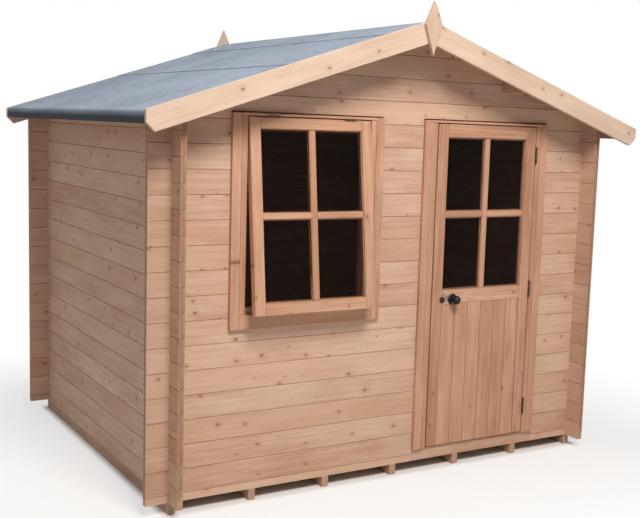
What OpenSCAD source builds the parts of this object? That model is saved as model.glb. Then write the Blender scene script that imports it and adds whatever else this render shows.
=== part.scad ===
// Log cabin: interlocking machined logs on floor joists, a shallow felted apex roof,
// a propped top-hung window and a half-glazed door in the front gable wall.
// Millimetres. X runs along the front, Y from front to back, Z up. The origin is on the
// ground at the centre of the plan, so the front wall faces -Y.

/* [Cabin] */
// Width over the outer faces of the side walls
cabin_w = 2450; // [2040:10:3200]
// Depth over the outer faces of the front and rear walls
cabin_d = 2010; // [1600:10:2800]
// Height of the side walls above the joists, at their outer face
side_wall_h = 1809; // [1800:1:2250]

/* [Logs] */
// Thickness of a wall log
wall_t = 28; // [19:1:44]
// Height that one log covers
log_h = 114; // [95:1:140]
// Length of log that passes the crossing wall at each corner
log_end = 108; // [60:2:150]
// Depth of the V-groove where two logs meet
groove_d = 4; // [1:0.5:6]
// Height of the part log under the front wall's first joint
front_start_h = 37; // [20:1:57]

/* [Floor] */
// Number of floor joists
joist_n = 7; // [4:1:9]
// Width of a joist
joist_w = 36; // [30:1:60]
// Height of a joist
joist_h = 55; // [40:1:90]
// Thickness of the floorboards
floor_t = 19; // [15:1:28]
// Gap left for movement between the floorboards and the walls
floor_gap = 7; // [3:1:12]

/* [Roof] */
// Slope of the roof
roof_pitch = 18.5; // [15:0.5:24]
// How far the roof passes the side walls
eave_overhang = 185; // [150:5:260]
// How far the roof passes the front and rear walls
gable_overhang = 195; // [150:5:260]
// Thickness of the roof boards
roof_board_t = 16; // [12:1:22]
// Thickness of the roofing felt
felt_t = 3; // [2:0.5:5]
// Height of the eave fascia boards
fascia_h = 52; // [40:1:90]
// Thickness of the eave fascia boards
fascia_t = 12; // [9:1:20]
// Width of the purlins and of the ridge beam
beam_w = 44; // [30:1:60]
// Depth of the purlins
purlin_h = 79; // [60:1:110]
// Depth of the ridge beam
ridge_beam_h = 95; // [70:1:130]

/* [Gable trim] */
// Width of the bargeboards across their slope
barge_w = 100; // [80:1:140]
// Thickness of the bargeboards
barge_t = 22; // [15:1:30]
// How far the bargeboards stand above the felt
barge_lip = 6; // [0:1:15]
// Width of the diamond finials
finial_w = 96; // [76:2:140]
// Height of the diamond finials
finial_h = 258; // [180:2:320]
// Height of a finial above its widest part
finial_top_h = 112; // [80:2:160]
// Thickness of the finials
finial_t = 20; // [12:1:28]
// How far the finials rise above the point of the bargeboards
finial_rise = 90; // [60:2:130]

/* [Openings] */
// Width of the door frame and of the window frame, outside
frame_w = 812; // [740:2:860]
// Width of wall between the window frame and the door frame
pier_w = 244; // [150:2:320]
// How far the pair of openings sits off the centre of the front, towards +X
openings_shift = -10; // [-40:2:40]
// Height of the head of both openings above the ground
head_z = 1838; // [1805:1:1870]
// Height of the window frame's underside above the ground
window_z = 834; // [700:2:1000]
// Height of the log under the door
sill_log_h = 63; // [45:1:80]
// Face width of the frame members
member_w = 77; // [60:1:95]
// How far the frames stand out from the wall
frame_proud = 20; // [10:1:30]
// How far the frames reach in from the wall's inner face
frame_inside = 25; // [15:1:45]
// Height of the frame heads
head_member_h = 12; // [8:1:20]
// Gap left above the frames for the logs to settle
settle_gap = 6; // [3:1:12]
// Width of the stops that the door and sash close against
stop_w = 20; // [12:1:28]

/* [Door] */
// Thickness of the door leaf and of the sash
leaf_t = 38; // [30:1:45]
// Gap between a leaf and its frame on the hinge side and at the head
leaf_gap = 5; // [4:0.5:8]
// Gap between the door leaf and its frame on the latch side
latch_gap = 7; // [7:0.5:10]
// Gap under the door leaf
under_gap = 7; // [5:1:15]
// Width of the door's stiles
stile_w = 63; // [50:1:95]
// Height of the door's top rail
top_rail_h = 66; // [50:1:110]
// Height of the door's middle rail
mid_rail_h = 70; // [60:1:110]
// Height of the middle rail's top edge above the door's foot
mid_rail_top = 830; // [700:5:950]
// Height of the bottom rail behind the boards
bottom_rail_h = 95; // [70:1:130]
// Thickness of the door's boards
door_board_t = 12; // [9:1:16]
// Number of boards in the door's lower panel
door_boards = 6; // [4:1:8]
// Face width of the glazing bars
bar_w = 28; // [20:1:36]
// Depth of the glazing bars
bar_t = 26; // [20:1:30]
// Thickness of the glass
glass_t = 4; // [3:1:6]

/* [Ironmongery] */
// Height of a door hinge
hinge_h = 90; // [75:1:110]
// Radius of a hinge barrel
hinge_r = 5; // [4:0.5:7]
// Distance of the outer hinges from the ends of the door leaf
hinge_inset = 150; // [110:5:200]
// Distance from the door's latch edge to the knob's axis
knob_inset = 129; // [110:1:150]
// Diameter of the ball of the knob
knob_d = 46; // [35:1:55]
// Diameter of the knob's rose
rose_d = 58; // [45:1:62]

/* [Window] */
// Width of the sash's stiles
sash_stile_w = 54; // [45:1:80]
// Height of the window frame's bottom member
window_sill_h = 68; // [50:1:90]
// Height of the upstand that the sash closes over
upstand_h = 27; // [15:1:35]
// Height of the sash's top rail
sash_top_h = 52; // [50:1:80]
// Height of the sash's bottom rail
sash_bottom_h = 55; // [45:1:80]
// Angle at which the sash is propped open
sash_angle = 6.5; // [3:0.5:15]

/* [Hidden] */
$fn = 48;

half_w = cabin_w / 2;
half_d = cabin_d / 2;
slope = tan(roof_pitch);
board_v = roof_board_t / cos(roof_pitch);        // roof boards, measured plumb
felt_v = felt_t / cos(roof_pitch);               // felt, measured plumb
barge_v = barge_w / cos(roof_pitch);             // bargeboards, measured plumb

// Heights of the log joints: the side walls' joints lie half a log above the front wall's.
front_first = joist_h + front_start_h;
side_first = front_first + log_h / 2;
log_count = ceil((side_wall_h + half_w * slope) / log_h) + 1;
groove_half = groove_d;                          // the V-groove's sides lie at 45 degrees

// Roof surfaces, as heights over the centre line
under_peak = joist_h + side_wall_h + half_w * slope;
beam_peak = under_peak - 0.1;                    // the beams clear the boards by a hair
board_peak = under_peak + board_v;
felt_peak = board_peak + felt_v;
barge_peak = felt_peak + barge_lip;
eave_x = half_w + eave_overhang;                 // outer face of the felt at the eaves
fascia_x = eave_x - felt_t;                      // outer face of the fascia
board_x = fascia_x - fascia_t;                   // edge of the roof boards
barge_y = half_d + gable_overhang;               // outer face of the bargeboards
roof_y = barge_y - barge_t;                      // end of the boards, beams and felt
barge_x = eave_x + 2;                            // the bargeboards just pass the felt
barge_end_h = 0.5 * barge_v;                     // plumb part of a bargeboard's foot
purlin_x = half_w / 2 + 12;

// Openings in the front wall
pair_w = 2 * frame_w + pier_w;
window_x0 = openings_shift - pair_w / 2;
window_x1 = window_x0 + frame_w;
door_x0 = window_x1 + pier_w;
door_x1 = door_x0 + frame_w;
frame_top = head_z - settle_gap;
sill_top = joist_h + sill_log_h;
header_top = front_first + log_h * ceil((head_z + 20 - front_first) / log_h);
frame_face = -half_d - frame_proud;              // front face of the frames
frame_back = -half_d + wall_t + frame_inside;    // back face of the frames

// Door leaf
leaf_face = frame_face + 2;
leaf_back = leaf_face + leaf_t;
leaf_x0 = door_x0 + member_w + latch_gap;
leaf_x1 = door_x1 - member_w - leaf_gap;
leaf_z0 = sill_top + under_gap;
leaf_z1 = frame_top - head_member_h - leaf_gap;
leaf_mid_x = (leaf_x0 + leaf_x1) / 2;
stop_y = leaf_back + 7;                          // front face of the stops
glass_x0 = leaf_x0 + stile_w;
glass_x1 = leaf_x1 - stile_w;
glass_z0 = leaf_z0 + mid_rail_top;
glass_z1 = leaf_z1 - top_rail_h;
panel_z1 = glass_z0 - mid_rail_h;
bar_face = leaf_face + 5;
glass_y = leaf_face + 17;

// Hinges and knob
plate_t = 2;
hinge_x = leaf_x1 + leaf_gap / 2;
hinge_y = frame_face - hinge_r - 0.5;
hinge_plate_y = leaf_face + 30;
hinge_pin_r = 2.5;
hinge_zs = [leaf_z0 + hinge_inset, (leaf_z0 + leaf_z1) / 2 - 35, leaf_z1 - hinge_inset];
knob_x = leaf_x0 + knob_inset;
knob_z = panel_z1 + 22;
spindle_r = 8;
rose_t = 6;
knob_reach = 60;                                 // from the leaf's face to the ball's end

// Sash, in its own frame: hung from its top front edge at the origin
sash_x0 = window_x0 + member_w + leaf_gap;
sash_x1 = window_x1 - member_w - leaf_gap;
sash_mid_x = (sash_x0 + sash_x1) / 2;
sash_z = frame_top - head_member_h - leaf_gap;
sill_z = window_z + window_sill_h;
sash_h = sash_z - sill_z - leaf_gap;
pane_x0 = sash_x0 + sash_stile_w;
pane_x1 = sash_x1 - sash_stile_w;
pane_z0 = -sash_h + sash_bottom_h;
pane_z1 = -sash_top_h;

overlap = 1;                                     // how far a cutter passes the face it cuts

// ---- Logs ------------------------------------------------------------------------------

// Joint heights of a wall whose first joint is at first, between z0 and z1
function joints(z0, z1, first) = [
    for (k = [0 : log_count])
        let (z = first + k * log_h)
        if (z > z0 + groove_half && z < z1 - groove_half) z
];

// Section of a stack of logs: outer face on x = 0, inner face on x = wall_t, height along y
module log_section(z0, z1, first) {
    seams = joints(z0, z1, first);
    n = len(seams);
    outer = [for (z = seams) each [[0, z - groove_half], [groove_d, z], [0, z + groove_half]]];
    inner = [for (i = [n - 1 : -1 : 0]) each [
        [wall_t, seams[i] + groove_half],
        [wall_t - groove_d, seams[i]],
        [wall_t, seams[i] - groove_half]
    ]];
    polygon(concat([[0, z0]], outer, [[0, z1], [wall_t, z1]], inner, [[wall_t, z0]]));
}

// Stack of logs from x0 to x1 whose outer face lies on y = 0 and faces -Y
module log_stack(x0, x1, z0, z1, first) {
    translate([x0, 0, 0])
        rotate([90, 0, 90])
            linear_extrude(x1 - x0)
                log_section(z0, z1, first);
}

// Necks of the logs whose first joint is at first, where they pass through a crossing wall
// that fills x and y from 0 to wall_t
module log_necks(first) {
    for (k = [-1 : log_count])
        translate([0, 0, first + (k + 0.25) * log_h])
            cube([wall_t, wall_t, log_h / 2]);
}

// Space under the roof boards, across the whole plan
module under_roof() {
    far_x = eave_x + 100;
    far_y = half_d + log_end + 100;
    rotate([90, 0, 0])
        translate([0, 0, -far_y])
            linear_extrude(2 * far_y)
                polygon([
                    [-far_x, -overlap], [far_x, -overlap],
                    [far_x, under_peak - far_x * slope], [0, under_peak],
                    [-far_x, under_peak - far_x * slope]
                ]);
}

// Part of the front wall between x0 and x1 and between z0 and z1, with a square top
module front_logs(x0, x1, z0, z1) {
    translate([0, -half_d, 0])
        log_stack(x0, x1, z0, z1, front_first);
}

// Necks of the side walls' logs at the front left corner
module front_left_side_necks() {
    translate([-half_w, -half_d, 0])
        log_necks(side_first);
}

// Full gable wall up to the roof between z0 and z1, in the front position
module gable_logs(z0, z1) {
    intersection() {
        front_logs(-half_w - log_end, half_w + log_end, z0, z1);
        under_roof();
    }
}

module left_wall() {
    color("tan")
        difference() {
            intersection() {
                translate([-half_w, 0, 0])
                    rotate([0, 0, -90])
                        log_stack(-half_d - log_end, half_d + log_end, joist_h,
                                  joist_h + side_wall_h + wall_t, side_first);
                under_roof();
            }
            for (m = [0, 1])
                mirror([0, m, 0])
                    translate([-half_w, -half_d, 0])
                        log_necks(front_first);
        }
}

module right_wall() {
    mirror([1, 0, 0])
        left_wall();
}

module rear_wall() {
    color("tan")
        mirror([0, 1, 0])
            difference() {
                gable_logs(joist_h, header_top);
                for (m = [0, 1])
                    mirror([m, 0, 0])
                        front_left_side_necks();
            }
}

module front_gable() {
    color("tan")
        difference() {
            gable_logs(header_top, under_peak);
            ridge_beam();
            purlins();
        }
}

module rear_gable() {
    mirror([0, 1, 0])
        front_gable();
}

module front_wall_left() {
    color("tan")
        difference() {
            intersection() {
                front_logs(-half_w - log_end, window_x0, joist_h, header_top);
                under_roof();
            }
            front_left_side_necks();
        }
}

module front_wall_under_window() {
    color("tan")
        front_logs(window_x0, window_x1, joist_h, window_z);
}

module front_wall_middle() {
    color("tan")
        front_logs(window_x1, door_x0, joist_h, header_top);
}

module front_wall_right() {
    color("tan")
        difference() {
            intersection() {
                front_logs(door_x1, half_w + log_end, joist_h, header_top);
                under_roof();
            }
            mirror([1, 0, 0])
                front_left_side_necks();
        }
}

module window_header_log() {
    color("tan")
        front_logs(window_x0, window_x1, head_z, header_top);
}

module door_header_log() {
    color("tan")
        front_logs(door_x0, door_x1, head_z, header_top);
}

module door_sill_log() {
    color("tan")
        translate([door_x0, -half_d, joist_h])
            cube([frame_w, wall_t, sill_log_h]);
}

// ---- Floor -----------------------------------------------------------------------------

module floor_joists() {
    pitch = (cabin_w - joist_w) / (joist_n - 1);
    color("burlywood")
        for (i = [0 : joist_n - 1])
            translate([-half_w + i * pitch, -half_d, 0])
                cube([joist_w, cabin_d, joist_h]);
}

module floor_boards() {
    inset = wall_t + floor_gap;
    color("burlywood")
        translate([-half_w + inset, -half_d + inset, joist_h])
            cube([cabin_w - 2 * inset, cabin_d - 2 * inset, floor_t]);
}

// ---- Roof ------------------------------------------------------------------------------

// Extrudes an outline drawn in x and z along the whole length of the roof
module along_roof() {
    rotate([90, 0, 0])
        translate([0, 0, -roof_y])
            linear_extrude(2 * roof_y)
                children();
}

module ridge_beam() {
    w = beam_w / 2;
    foot = under_peak - ridge_beam_h;
    color("burlywood")
        along_roof()
            polygon([
                [-w, foot], [w, foot], [w, beam_peak - w * slope],
                [0, beam_peak], [-w, beam_peak - w * slope]
            ]);
}

module purlins() {
    x0 = purlin_x - beam_w / 2;
    x1 = purlin_x + beam_w / 2;
    foot = under_peak - purlin_x * slope - purlin_h;
    color("burlywood")
        for (m = [0, 1])
            mirror([m, 0, 0])
                along_roof()
                    polygon([
                        [x0, foot], [x1, foot],
                        [x1, beam_peak - x1 * slope], [x0, beam_peak - x0 * slope]
                    ]);
}

module roof_boards_right() {
    color("wheat")
        along_roof()
            polygon([
                [0, under_peak], [board_x, under_peak - board_x * slope],
                [board_x, board_peak - board_x * slope], [0, board_peak]
            ]);
}

module roof_boards_left() {
    mirror([1, 0, 0])
        roof_boards_right();
}

module eave_fascias() {
    top = board_peak - fascia_x * slope;
    color("wheat")
        for (m = [0, 1])
            mirror([m, 0, 0])
                along_roof()
                    polygon([
                        [board_x, top - fascia_h], [fascia_x, top - fascia_h],
                        [fascia_x, top], [board_x, board_peak - board_x * slope]
                    ]);
}

// The felt lies on the boards and turns down over the fascia
module roof_felt_right() {
    foot = board_peak - fascia_x * slope - fascia_h;
    color("slategray")
        along_roof()
            polygon([
                [0, board_peak], [fascia_x, board_peak - fascia_x * slope],
                [fascia_x, foot], [eave_x, foot],
                [eave_x, felt_peak - eave_x * slope], [0, felt_peak]
            ]);
}

module roof_felt_left() {
    mirror([1, 0, 0])
        roof_felt_right();
}

// Bargeboards on the right of both gables, each with a plumb end and a sloping foot
module bargeboards_right() {
    end_z = barge_peak - barge_x * slope;
    foot_in = barge_v - barge_end_h - 13;        // sets the foot cut near 45 degrees
    foot_x = barge_x - foot_in;
    color("navajowhite")
        for (m = [0, 1])
            mirror([0, m, 0])
                translate([0, -roof_y, 0])
                    rotate([90, 0, 0])
                        linear_extrude(barge_t)
                            polygon([
                                [0, barge_peak - barge_v],
                                [foot_x, barge_peak - barge_v - foot_x * slope],
                                [barge_x, end_z - barge_end_h], [barge_x, end_z],
                                [0, barge_peak]
                            ]);
}

module bargeboards_left() {
    mirror([1, 0, 0])
        bargeboards_right();
}

module finials() {
    tip = barge_peak + finial_rise;
    widest = tip - finial_top_h;
    color("navajowhite")
        for (m = [0, 1])
            mirror([0, m, 0])
                translate([0, -barge_y, 0])
                    rotate([90, 0, 0])
                        linear_extrude(finial_t)
                            polygon([
                                [0, tip - finial_h], [finial_w / 2, widest],
                                [0, tip], [-finial_w / 2, widest]
                            ]);
}

// ---- Window ----------------------------------------------------------------------------

// Upright frame member between the heights z0 and z1, with its outer side on x
module frame_upright(x, z0, z1) {
    translate([x, frame_face, z0])
        cube([member_w, frame_back - frame_face, z1 - z0]);
}

module window_frame() {
    depth = frame_back - frame_face;
    inner_x0 = window_x0 + member_w;
    inner_w = frame_w - 2 * member_w;
    color("peru")
        union() {
            frame_upright(window_x0, window_z, frame_top);
            frame_upright(window_x1 - member_w, window_z, frame_top);
            translate([window_x0, frame_face, window_z])
                cube([frame_w, depth, window_sill_h]);
            translate([window_x0, frame_face, frame_top - head_member_h])
                cube([frame_w, depth, head_member_h]);
            for (x = [inner_x0, inner_x0 + inner_w - stop_w])
                translate([x, stop_y, window_z])
                    cube([stop_w, frame_back - stop_y, frame_top - window_z]);
            translate([inner_x0, stop_y, frame_top - head_member_h - stop_w])
                cube([inner_w, frame_back - stop_y, stop_w + overlap]);
            translate([inner_x0, stop_y, sill_z - overlap])
                cube([inner_w, frame_back - stop_y, upstand_h + overlap]);
        }
}

// Places what hangs with the sash
module hung() {
    translate([0, leaf_face, sash_z])
        rotate([-sash_angle, 0, 0])
            children();
}

module sash_stiles() {
    color("peru")
        hung()
            for (x = [sash_x0, sash_x1 - sash_stile_w])
                translate([x, 0, -sash_h])
                    cube([sash_stile_w, leaf_t, sash_h]);
}

module sash_rails() {
    color("peru")
        hung()
            for (rail = [[-sash_h, sash_bottom_h], [pane_z1, sash_top_h]])
                translate([pane_x0, 0, rail[0]])
                    cube([pane_x1 - pane_x0, leaf_t, rail[1]]);
}

module sash_upright_bar() {
    color("peru")
        hung()
            translate([sash_mid_x - bar_w / 2, 5, pane_z0])
                cube([bar_w, bar_t, pane_z1 - pane_z0]);
}

module sash_level_bars() {
    bar_len = (pane_x1 - pane_x0 - bar_w) / 2;
    color("peru")
        hung()
            for (x = [pane_x0, pane_x1 - bar_len])
                translate([x, 5, (pane_z0 + pane_z1 - bar_w) / 2])
                    cube([bar_len, bar_t, bar_w]);
}

// Four panes that fill the cells of a cross of bars, between x0 and x1 and z0 and z1
module four_panes(x0, x1, z0, z1) {
    cell_w = (x1 - x0 - bar_w) / 2;
    cell_h = (z1 - z0 - bar_w) / 2;
    for (x = [x0, x1 - cell_w], z = [z0, z1 - cell_h])
        translate([x, 0, z])
            cube([cell_w, glass_t, cell_h]);
}

module window_glass() {
    color("dimgray")
        hung()
            translate([0, 15, 0])
                four_panes(pane_x0, pane_x1, pane_z0, pane_z1);
}

// Short bar that props the sash, from the frame's bottom member to the sash's bottom rail
module window_stay() {
    function back_face(z) = [
        leaf_face + leaf_t * cos(sash_angle) + z * sin(sash_angle),
        sash_z - leaf_t * sin(sash_angle) + z * cos(sash_angle)
    ];
    foot_y = -half_d + 5;
    bar = 14;
    color("darkgray")
        translate([sash_mid_x - bar / 2, 0, 0])
            rotate([90, 0, 90])
                linear_extrude(bar)
                    polygon([
                        [foot_y, sill_z], [foot_y + bar, sill_z],
                        back_face(-sash_h + 42), back_face(-sash_h + 28)
                    ]);
}

// Pair of butt hinges at the head of the sash: a leaf on the frame, one on the sash, a barrel
module window_hinges() {
    hinge_len = 60;
    leaf_depth = 28;
    barrel_r = 4;
    inset = 90;
    color("dimgray")
        for (x = [sash_x0 + inset, sash_x1 - inset - hinge_len])
            union() {
                translate([x, leaf_face - barrel_r, sash_z + leaf_gap - plate_t])
                    cube([hinge_len, leaf_depth + barrel_r, plate_t]);
                hung()
                    translate([x, -barrel_r, 0])
                        cube([hinge_len, leaf_depth + barrel_r, plate_t]);
                translate([x, leaf_face - barrel_r - 1, sash_z + leaf_gap / 2])
                    rotate([0, 90, 0])
                        cylinder(r = barrel_r, h = hinge_len);
            }
}

// ---- Door ------------------------------------------------------------------------------

module door_jambs() {
    color("peru")
        for (x = [door_x0, door_x1 - member_w])
            frame_upright(x, sill_top, frame_top - head_member_h);
}

module door_head() {
    color("peru")
        translate([door_x0, frame_face, frame_top - head_member_h])
            cube([frame_w, frame_back - frame_face, head_member_h]);
}

module door_stops() {
    x0 = door_x0 + member_w;
    x1 = door_x1 - member_w;
    depth = frame_back - stop_y;
    top = frame_top - head_member_h;
    color("peru") {
        for (x = [x0, x1 - stop_w])
            translate([x, stop_y, sill_top])
                cube([stop_w, depth, top - sill_top]);
        translate([x0 + stop_w + 1, stop_y, top - stop_w])
            cube([x1 - x0 - 2 * stop_w - 2, depth, stop_w]);
    }
}

module door_leaf() {
    leaf_w = leaf_x1 - leaf_x0;
    rail_y = leaf_face + 3 + door_board_t;       // the bottom rail lies behind the boards
    color("peru")
        difference() {
            union() {
                for (x = [leaf_x0, leaf_x1 - stile_w])
                    translate([x, leaf_face, leaf_z0])
                        cube([stile_w, leaf_t, leaf_z1 - leaf_z0]);
                translate([leaf_x0, leaf_face, leaf_z1 - top_rail_h])
                    cube([leaf_w, leaf_t, top_rail_h]);
                translate([leaf_x0, leaf_face, panel_z1])
                    cube([leaf_w, leaf_t, mid_rail_h]);
                translate([leaf_x0 + stile_w - overlap, rail_y, leaf_z0])
                    cube([leaf_w - 2 * stile_w + 2 * overlap, leaf_back - rail_y, bottom_rail_h]);
            }
            translate([knob_x, leaf_back + overlap, knob_z])
                rotate([90, 0, 0])
                    cylinder(r = spindle_r + 1, h = leaf_t + 2 * overlap);
        }
}

// Upright tongued and grooved boards of the lower panel, with a V-groove at each joint
module door_panel() {
    w = glass_x1 - glass_x0;
    board_w = w / door_boards;
    v = 3;
    face = [for (i = [1 : door_boards - 1]) each [
        [i * board_w - v, 0], [i * board_w, v], [i * board_w + v, 0]
    ]];
    color("peru")
        translate([glass_x0, leaf_face + 3, leaf_z0])
            linear_extrude(panel_z1 - leaf_z0)
                polygon(concat([[0, 0]], face, [[w, 0], [w, door_board_t], [0, door_board_t]]));
}

module door_glazing_bars() {
    bar_z = (glass_z0 + glass_z1) / 2;
    color("peru")
        union() {
            translate([leaf_mid_x - bar_w / 2, bar_face, glass_z0])
                cube([bar_w, bar_t, glass_z1 - glass_z0]);
            translate([glass_x0, bar_face, bar_z - bar_w / 2])
                cube([glass_x1 - glass_x0, bar_t, bar_w]);
        }
}

module door_glass() {
    color("dimgray")
        translate([0, glass_y, 0])
            four_panes(glass_x0, glass_x1, glass_z0, glass_z1);
}

// Barrel of a hinge from z0 to z1
module hinge_barrel(z0, z1, r) {
    translate([hinge_x, hinge_y, z0])
        cylinder(r = r, h = z1 - z0);
}

// Plate of a hinge whose side against the wood lies on x0
module hinge_plate(x0, z0, z1) {
    translate([x0, hinge_y, z0])
        cube([plate_t, hinge_plate_y - hinge_y, z1 - z0]);
}

// Frame side of each hinge: plate, two end barrels and the pin
module door_hinge_plates() {
    third = hinge_h / 3;
    color("dimgray")
        for (zc = hinge_zs)
            let (z0 = zc - hinge_h / 2, z1 = zc + hinge_h / 2)
            union() {
                difference() {
                    hinge_plate(door_x1 - member_w - plate_t, z0, z1);
                    hinge_barrel(z0 + third, z1 - third, hinge_r + 0.5);
                }
                hinge_barrel(z0, z0 + third, hinge_r);
                hinge_barrel(z1 - third, z1, hinge_r);
                hinge_barrel(z0, z1, hinge_pin_r);
            }
}

// Door side of each hinge: plate and middle barrel, turning on the pin
module door_hinge_flaps() {
    third = hinge_h / 3;
    play = 0.5;
    color("dimgray")
        for (zc = hinge_zs)
            let (z0 = zc - hinge_h / 2, z1 = zc + hinge_h / 2)
            difference() {
                union() {
                    difference() {
                        hinge_plate(leaf_x1, z0, z1);
                        hinge_barrel(z0 - overlap, z0 + third + play, hinge_r + 0.5);
                        hinge_barrel(z1 - third - play, z1 + overlap, hinge_r + 0.5);
                    }
                    hinge_barrel(z0 + third + play, z1 - third - play, hinge_r);
                }
                hinge_barrel(z0 - overlap, z1 + overlap, hinge_pin_r + 0.1);
            }
}

// Round rose on each face of the door, bored for the spindle
module knob_roses() {
    color("black")
        for (y = [leaf_face, leaf_back + rose_t])
            translate([knob_x, y, knob_z])
                rotate([90, 0, 0])
                    difference() {
                        cylinder(r = rose_d / 2, h = rose_t);
                        translate([0, 0, -overlap])
                            cylinder(r = spindle_r + 0.1, h = rose_t + 2 * overlap);
                    }
}

// Ball knob inside and out on one spindle
module door_knob() {
    ball_r = knob_d / 2;
    front = leaf_face - knob_reach + ball_r;
    back = leaf_back + knob_reach - ball_r;
    color("black")
        union() {
            translate([knob_x, back, knob_z])
                rotate([90, 0, 0])
                    cylinder(r = spindle_r, h = back - front);
            for (y = [front, back])
                translate([knob_x, y, knob_z])
                    sphere(r = ball_r);
        }
}

// Round escutcheon with a keyhole, beside the knob
module keyhole_plate() {
    color("saddlebrown")
        translate([leaf_x0 + 62, leaf_face, knob_z])
            rotate([90, 0, 0])
                difference() {
                    cylinder(r = 16, h = 4);
                    translate([0, 3, -overlap])
                        cylinder(r = 3.5, h = 4 + 2 * overlap);
                    translate([-1.5, -8, -overlap])
                        cube([3, 11, 4 + 2 * overlap]);
                }
}

// Bright metal strip between the keyhole and the knob
module lock_edge_plate() {
    strip_w = 14;
    strip_h = 58;
    color("silver")
        translate([leaf_x0 + 82, leaf_face - 3, knob_z - strip_h / 2 + 5])
            cube([strip_w, 3, strip_h]);
}

floor_joists();
floor_boards();
left_wall();
right_wall();
rear_wall();
rear_gable();
front_wall_left();
front_wall_under_window();
front_wall_middle();
front_wall_right();
window_header_log();
door_header_log();
door_sill_log();
front_gable();
window_frame();
sash_stiles();
sash_rails();
sash_upright_bar();
sash_level_bars();
window_glass();
window_stay();
window_hinges();
door_jambs();
door_head();
door_stops();
ridge_beam();
purlins();
roof_boards_left();
roof_boards_right();
eave_fascias();
roof_felt_left();
roof_felt_right();
bargeboards_left();
bargeboards_right();
finials();
door_hinge_plates();
door_leaf();
door_panel();
door_glazing_bars();
door_glass();
door_hinge_flaps();
knob_roses();
keyhole_plate();
lock_edge_plate();
door_knob();
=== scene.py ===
"""Looks of a small log cabin: boards, felt, joinery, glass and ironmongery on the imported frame."""
import logging
import math
import random
from dataclasses import dataclass
from enum import Enum
from typing import Sequence

import bmesh
import bpy
from mathutils import Matrix, Vector, noise


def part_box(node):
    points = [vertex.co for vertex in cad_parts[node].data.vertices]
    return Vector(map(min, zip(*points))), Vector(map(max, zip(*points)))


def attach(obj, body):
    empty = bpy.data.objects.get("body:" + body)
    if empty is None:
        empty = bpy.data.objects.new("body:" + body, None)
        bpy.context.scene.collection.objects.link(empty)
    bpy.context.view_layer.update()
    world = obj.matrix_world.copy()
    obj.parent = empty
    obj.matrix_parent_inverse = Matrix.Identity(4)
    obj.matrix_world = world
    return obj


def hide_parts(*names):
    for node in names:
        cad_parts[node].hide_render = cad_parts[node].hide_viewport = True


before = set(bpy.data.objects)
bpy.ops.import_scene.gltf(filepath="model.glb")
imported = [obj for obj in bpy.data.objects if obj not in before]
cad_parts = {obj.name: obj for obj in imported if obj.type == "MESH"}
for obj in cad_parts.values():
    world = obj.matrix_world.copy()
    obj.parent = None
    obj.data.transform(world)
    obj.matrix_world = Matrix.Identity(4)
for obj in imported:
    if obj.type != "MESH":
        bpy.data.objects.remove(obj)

LOG = logging.getLogger("log_cabin")
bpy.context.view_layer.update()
MM = 0.001

Point2 = tuple[float, float]
Point3 = Sequence[float]


class Along(Enum):
    """World direction that the grain of a board follows."""

    X = 0
    Y = 1
    Z = 2


def linear(hex_colour: str) -> tuple[float, float, float, float]:
    """Turns an sRGB hex colour such as "c8a078" into linear RGBA.

    Args:
        hex_colour: six hex digits.

    Returns:
        The colour as linear red, green, blue and an alpha of 1.
    """
    parts = [int(hex_colour[i:i + 2], 16) / 255 for i in (0, 2, 4)]
    low = [p / 12.92 if p <= 0.04045 else ((p + 0.055) / 1.055) ** 2.4 for p in parts]
    return (low[0], low[1], low[2], 1.0)


def cells(size_mm: float) -> float:
    """Cells a metre, to two figures, of a pattern whose marks are this many millimetres."""
    return float(f"{1000 / size_mm:.2g}")


def stretch(long_mm: float, wide_mm: float) -> tuple[float, float, float]:
    """Cells a metre along and across the grain, for marks this long and this wide."""
    return (cells(long_mm), cells(wide_mm), cells(wide_mm))


class Graph:
    """A node tree, a material's or the world's, that starts empty but for its output."""

    def __init__(self, owner: bpy.types.Material | bpy.types.World, output: str) -> None:
        """Empties the owner's tree and adds its output.

        Args:
            owner: the material or world.
            output: the type name of its output node, as add takes it.
        """
        owner.use_nodes = True
        self.owner = owner
        self.tree = owner.node_tree
        self.tree.nodes.clear()
        self.output = self.add(output)

    @staticmethod
    def material(name: str) -> "Graph":
        """Opens the tree of a new material of this name."""
        return Graph(bpy.data.materials.new(name), "OutputMaterial")

    def add(self, kind: str, inputs: dict | None = None, **settings: object) -> bpy.types.Node:
        """Adds one node with its settings and links.

        Args:
            kind: the node's type name, less ShaderNode.
            inputs: socket name or number to a value, to an output to link, or to a node, which
                stands for its first output.
            settings: properties of the node itself.

        Returns:
            The new node.
        """
        node = self.tree.nodes.new("ShaderNode" + kind)
        for key, value in settings.items():
            setattr(node, key, value)
        for key, value in (inputs or {}).items():
            if isinstance(value, bpy.types.Node):
                value = value.outputs[0]
            if isinstance(value, bpy.types.NodeSocket):
                self.tree.links.new(value, node.inputs[key])
            else:
                node.inputs[key].default_value = value
        return node

    def seen(self) -> bpy.types.Node:
        """Adds the nodes that give 1 where the eye looks straight, by mirror or through glass."""
        rays = self.add("LightPath")
        found = self.add("Math", {0: rays.outputs["Is Camera Ray"],
                                  1: rays.outputs["Is Glossy Ray"]}, operation="MAXIMUM")
        return self.add("Math", {0: found, 1: rays.outputs["Is Transmission Ray"]},
                        operation="MAXIMUM")

    def finish(self, shader: bpy.types.Node) -> bpy.types.Material | bpy.types.World:
        """Links the shader to the output and returns the material or world."""
        self.tree.links.new(shader.outputs[0], self.output.inputs["Surface"])
        return self.owner


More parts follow.
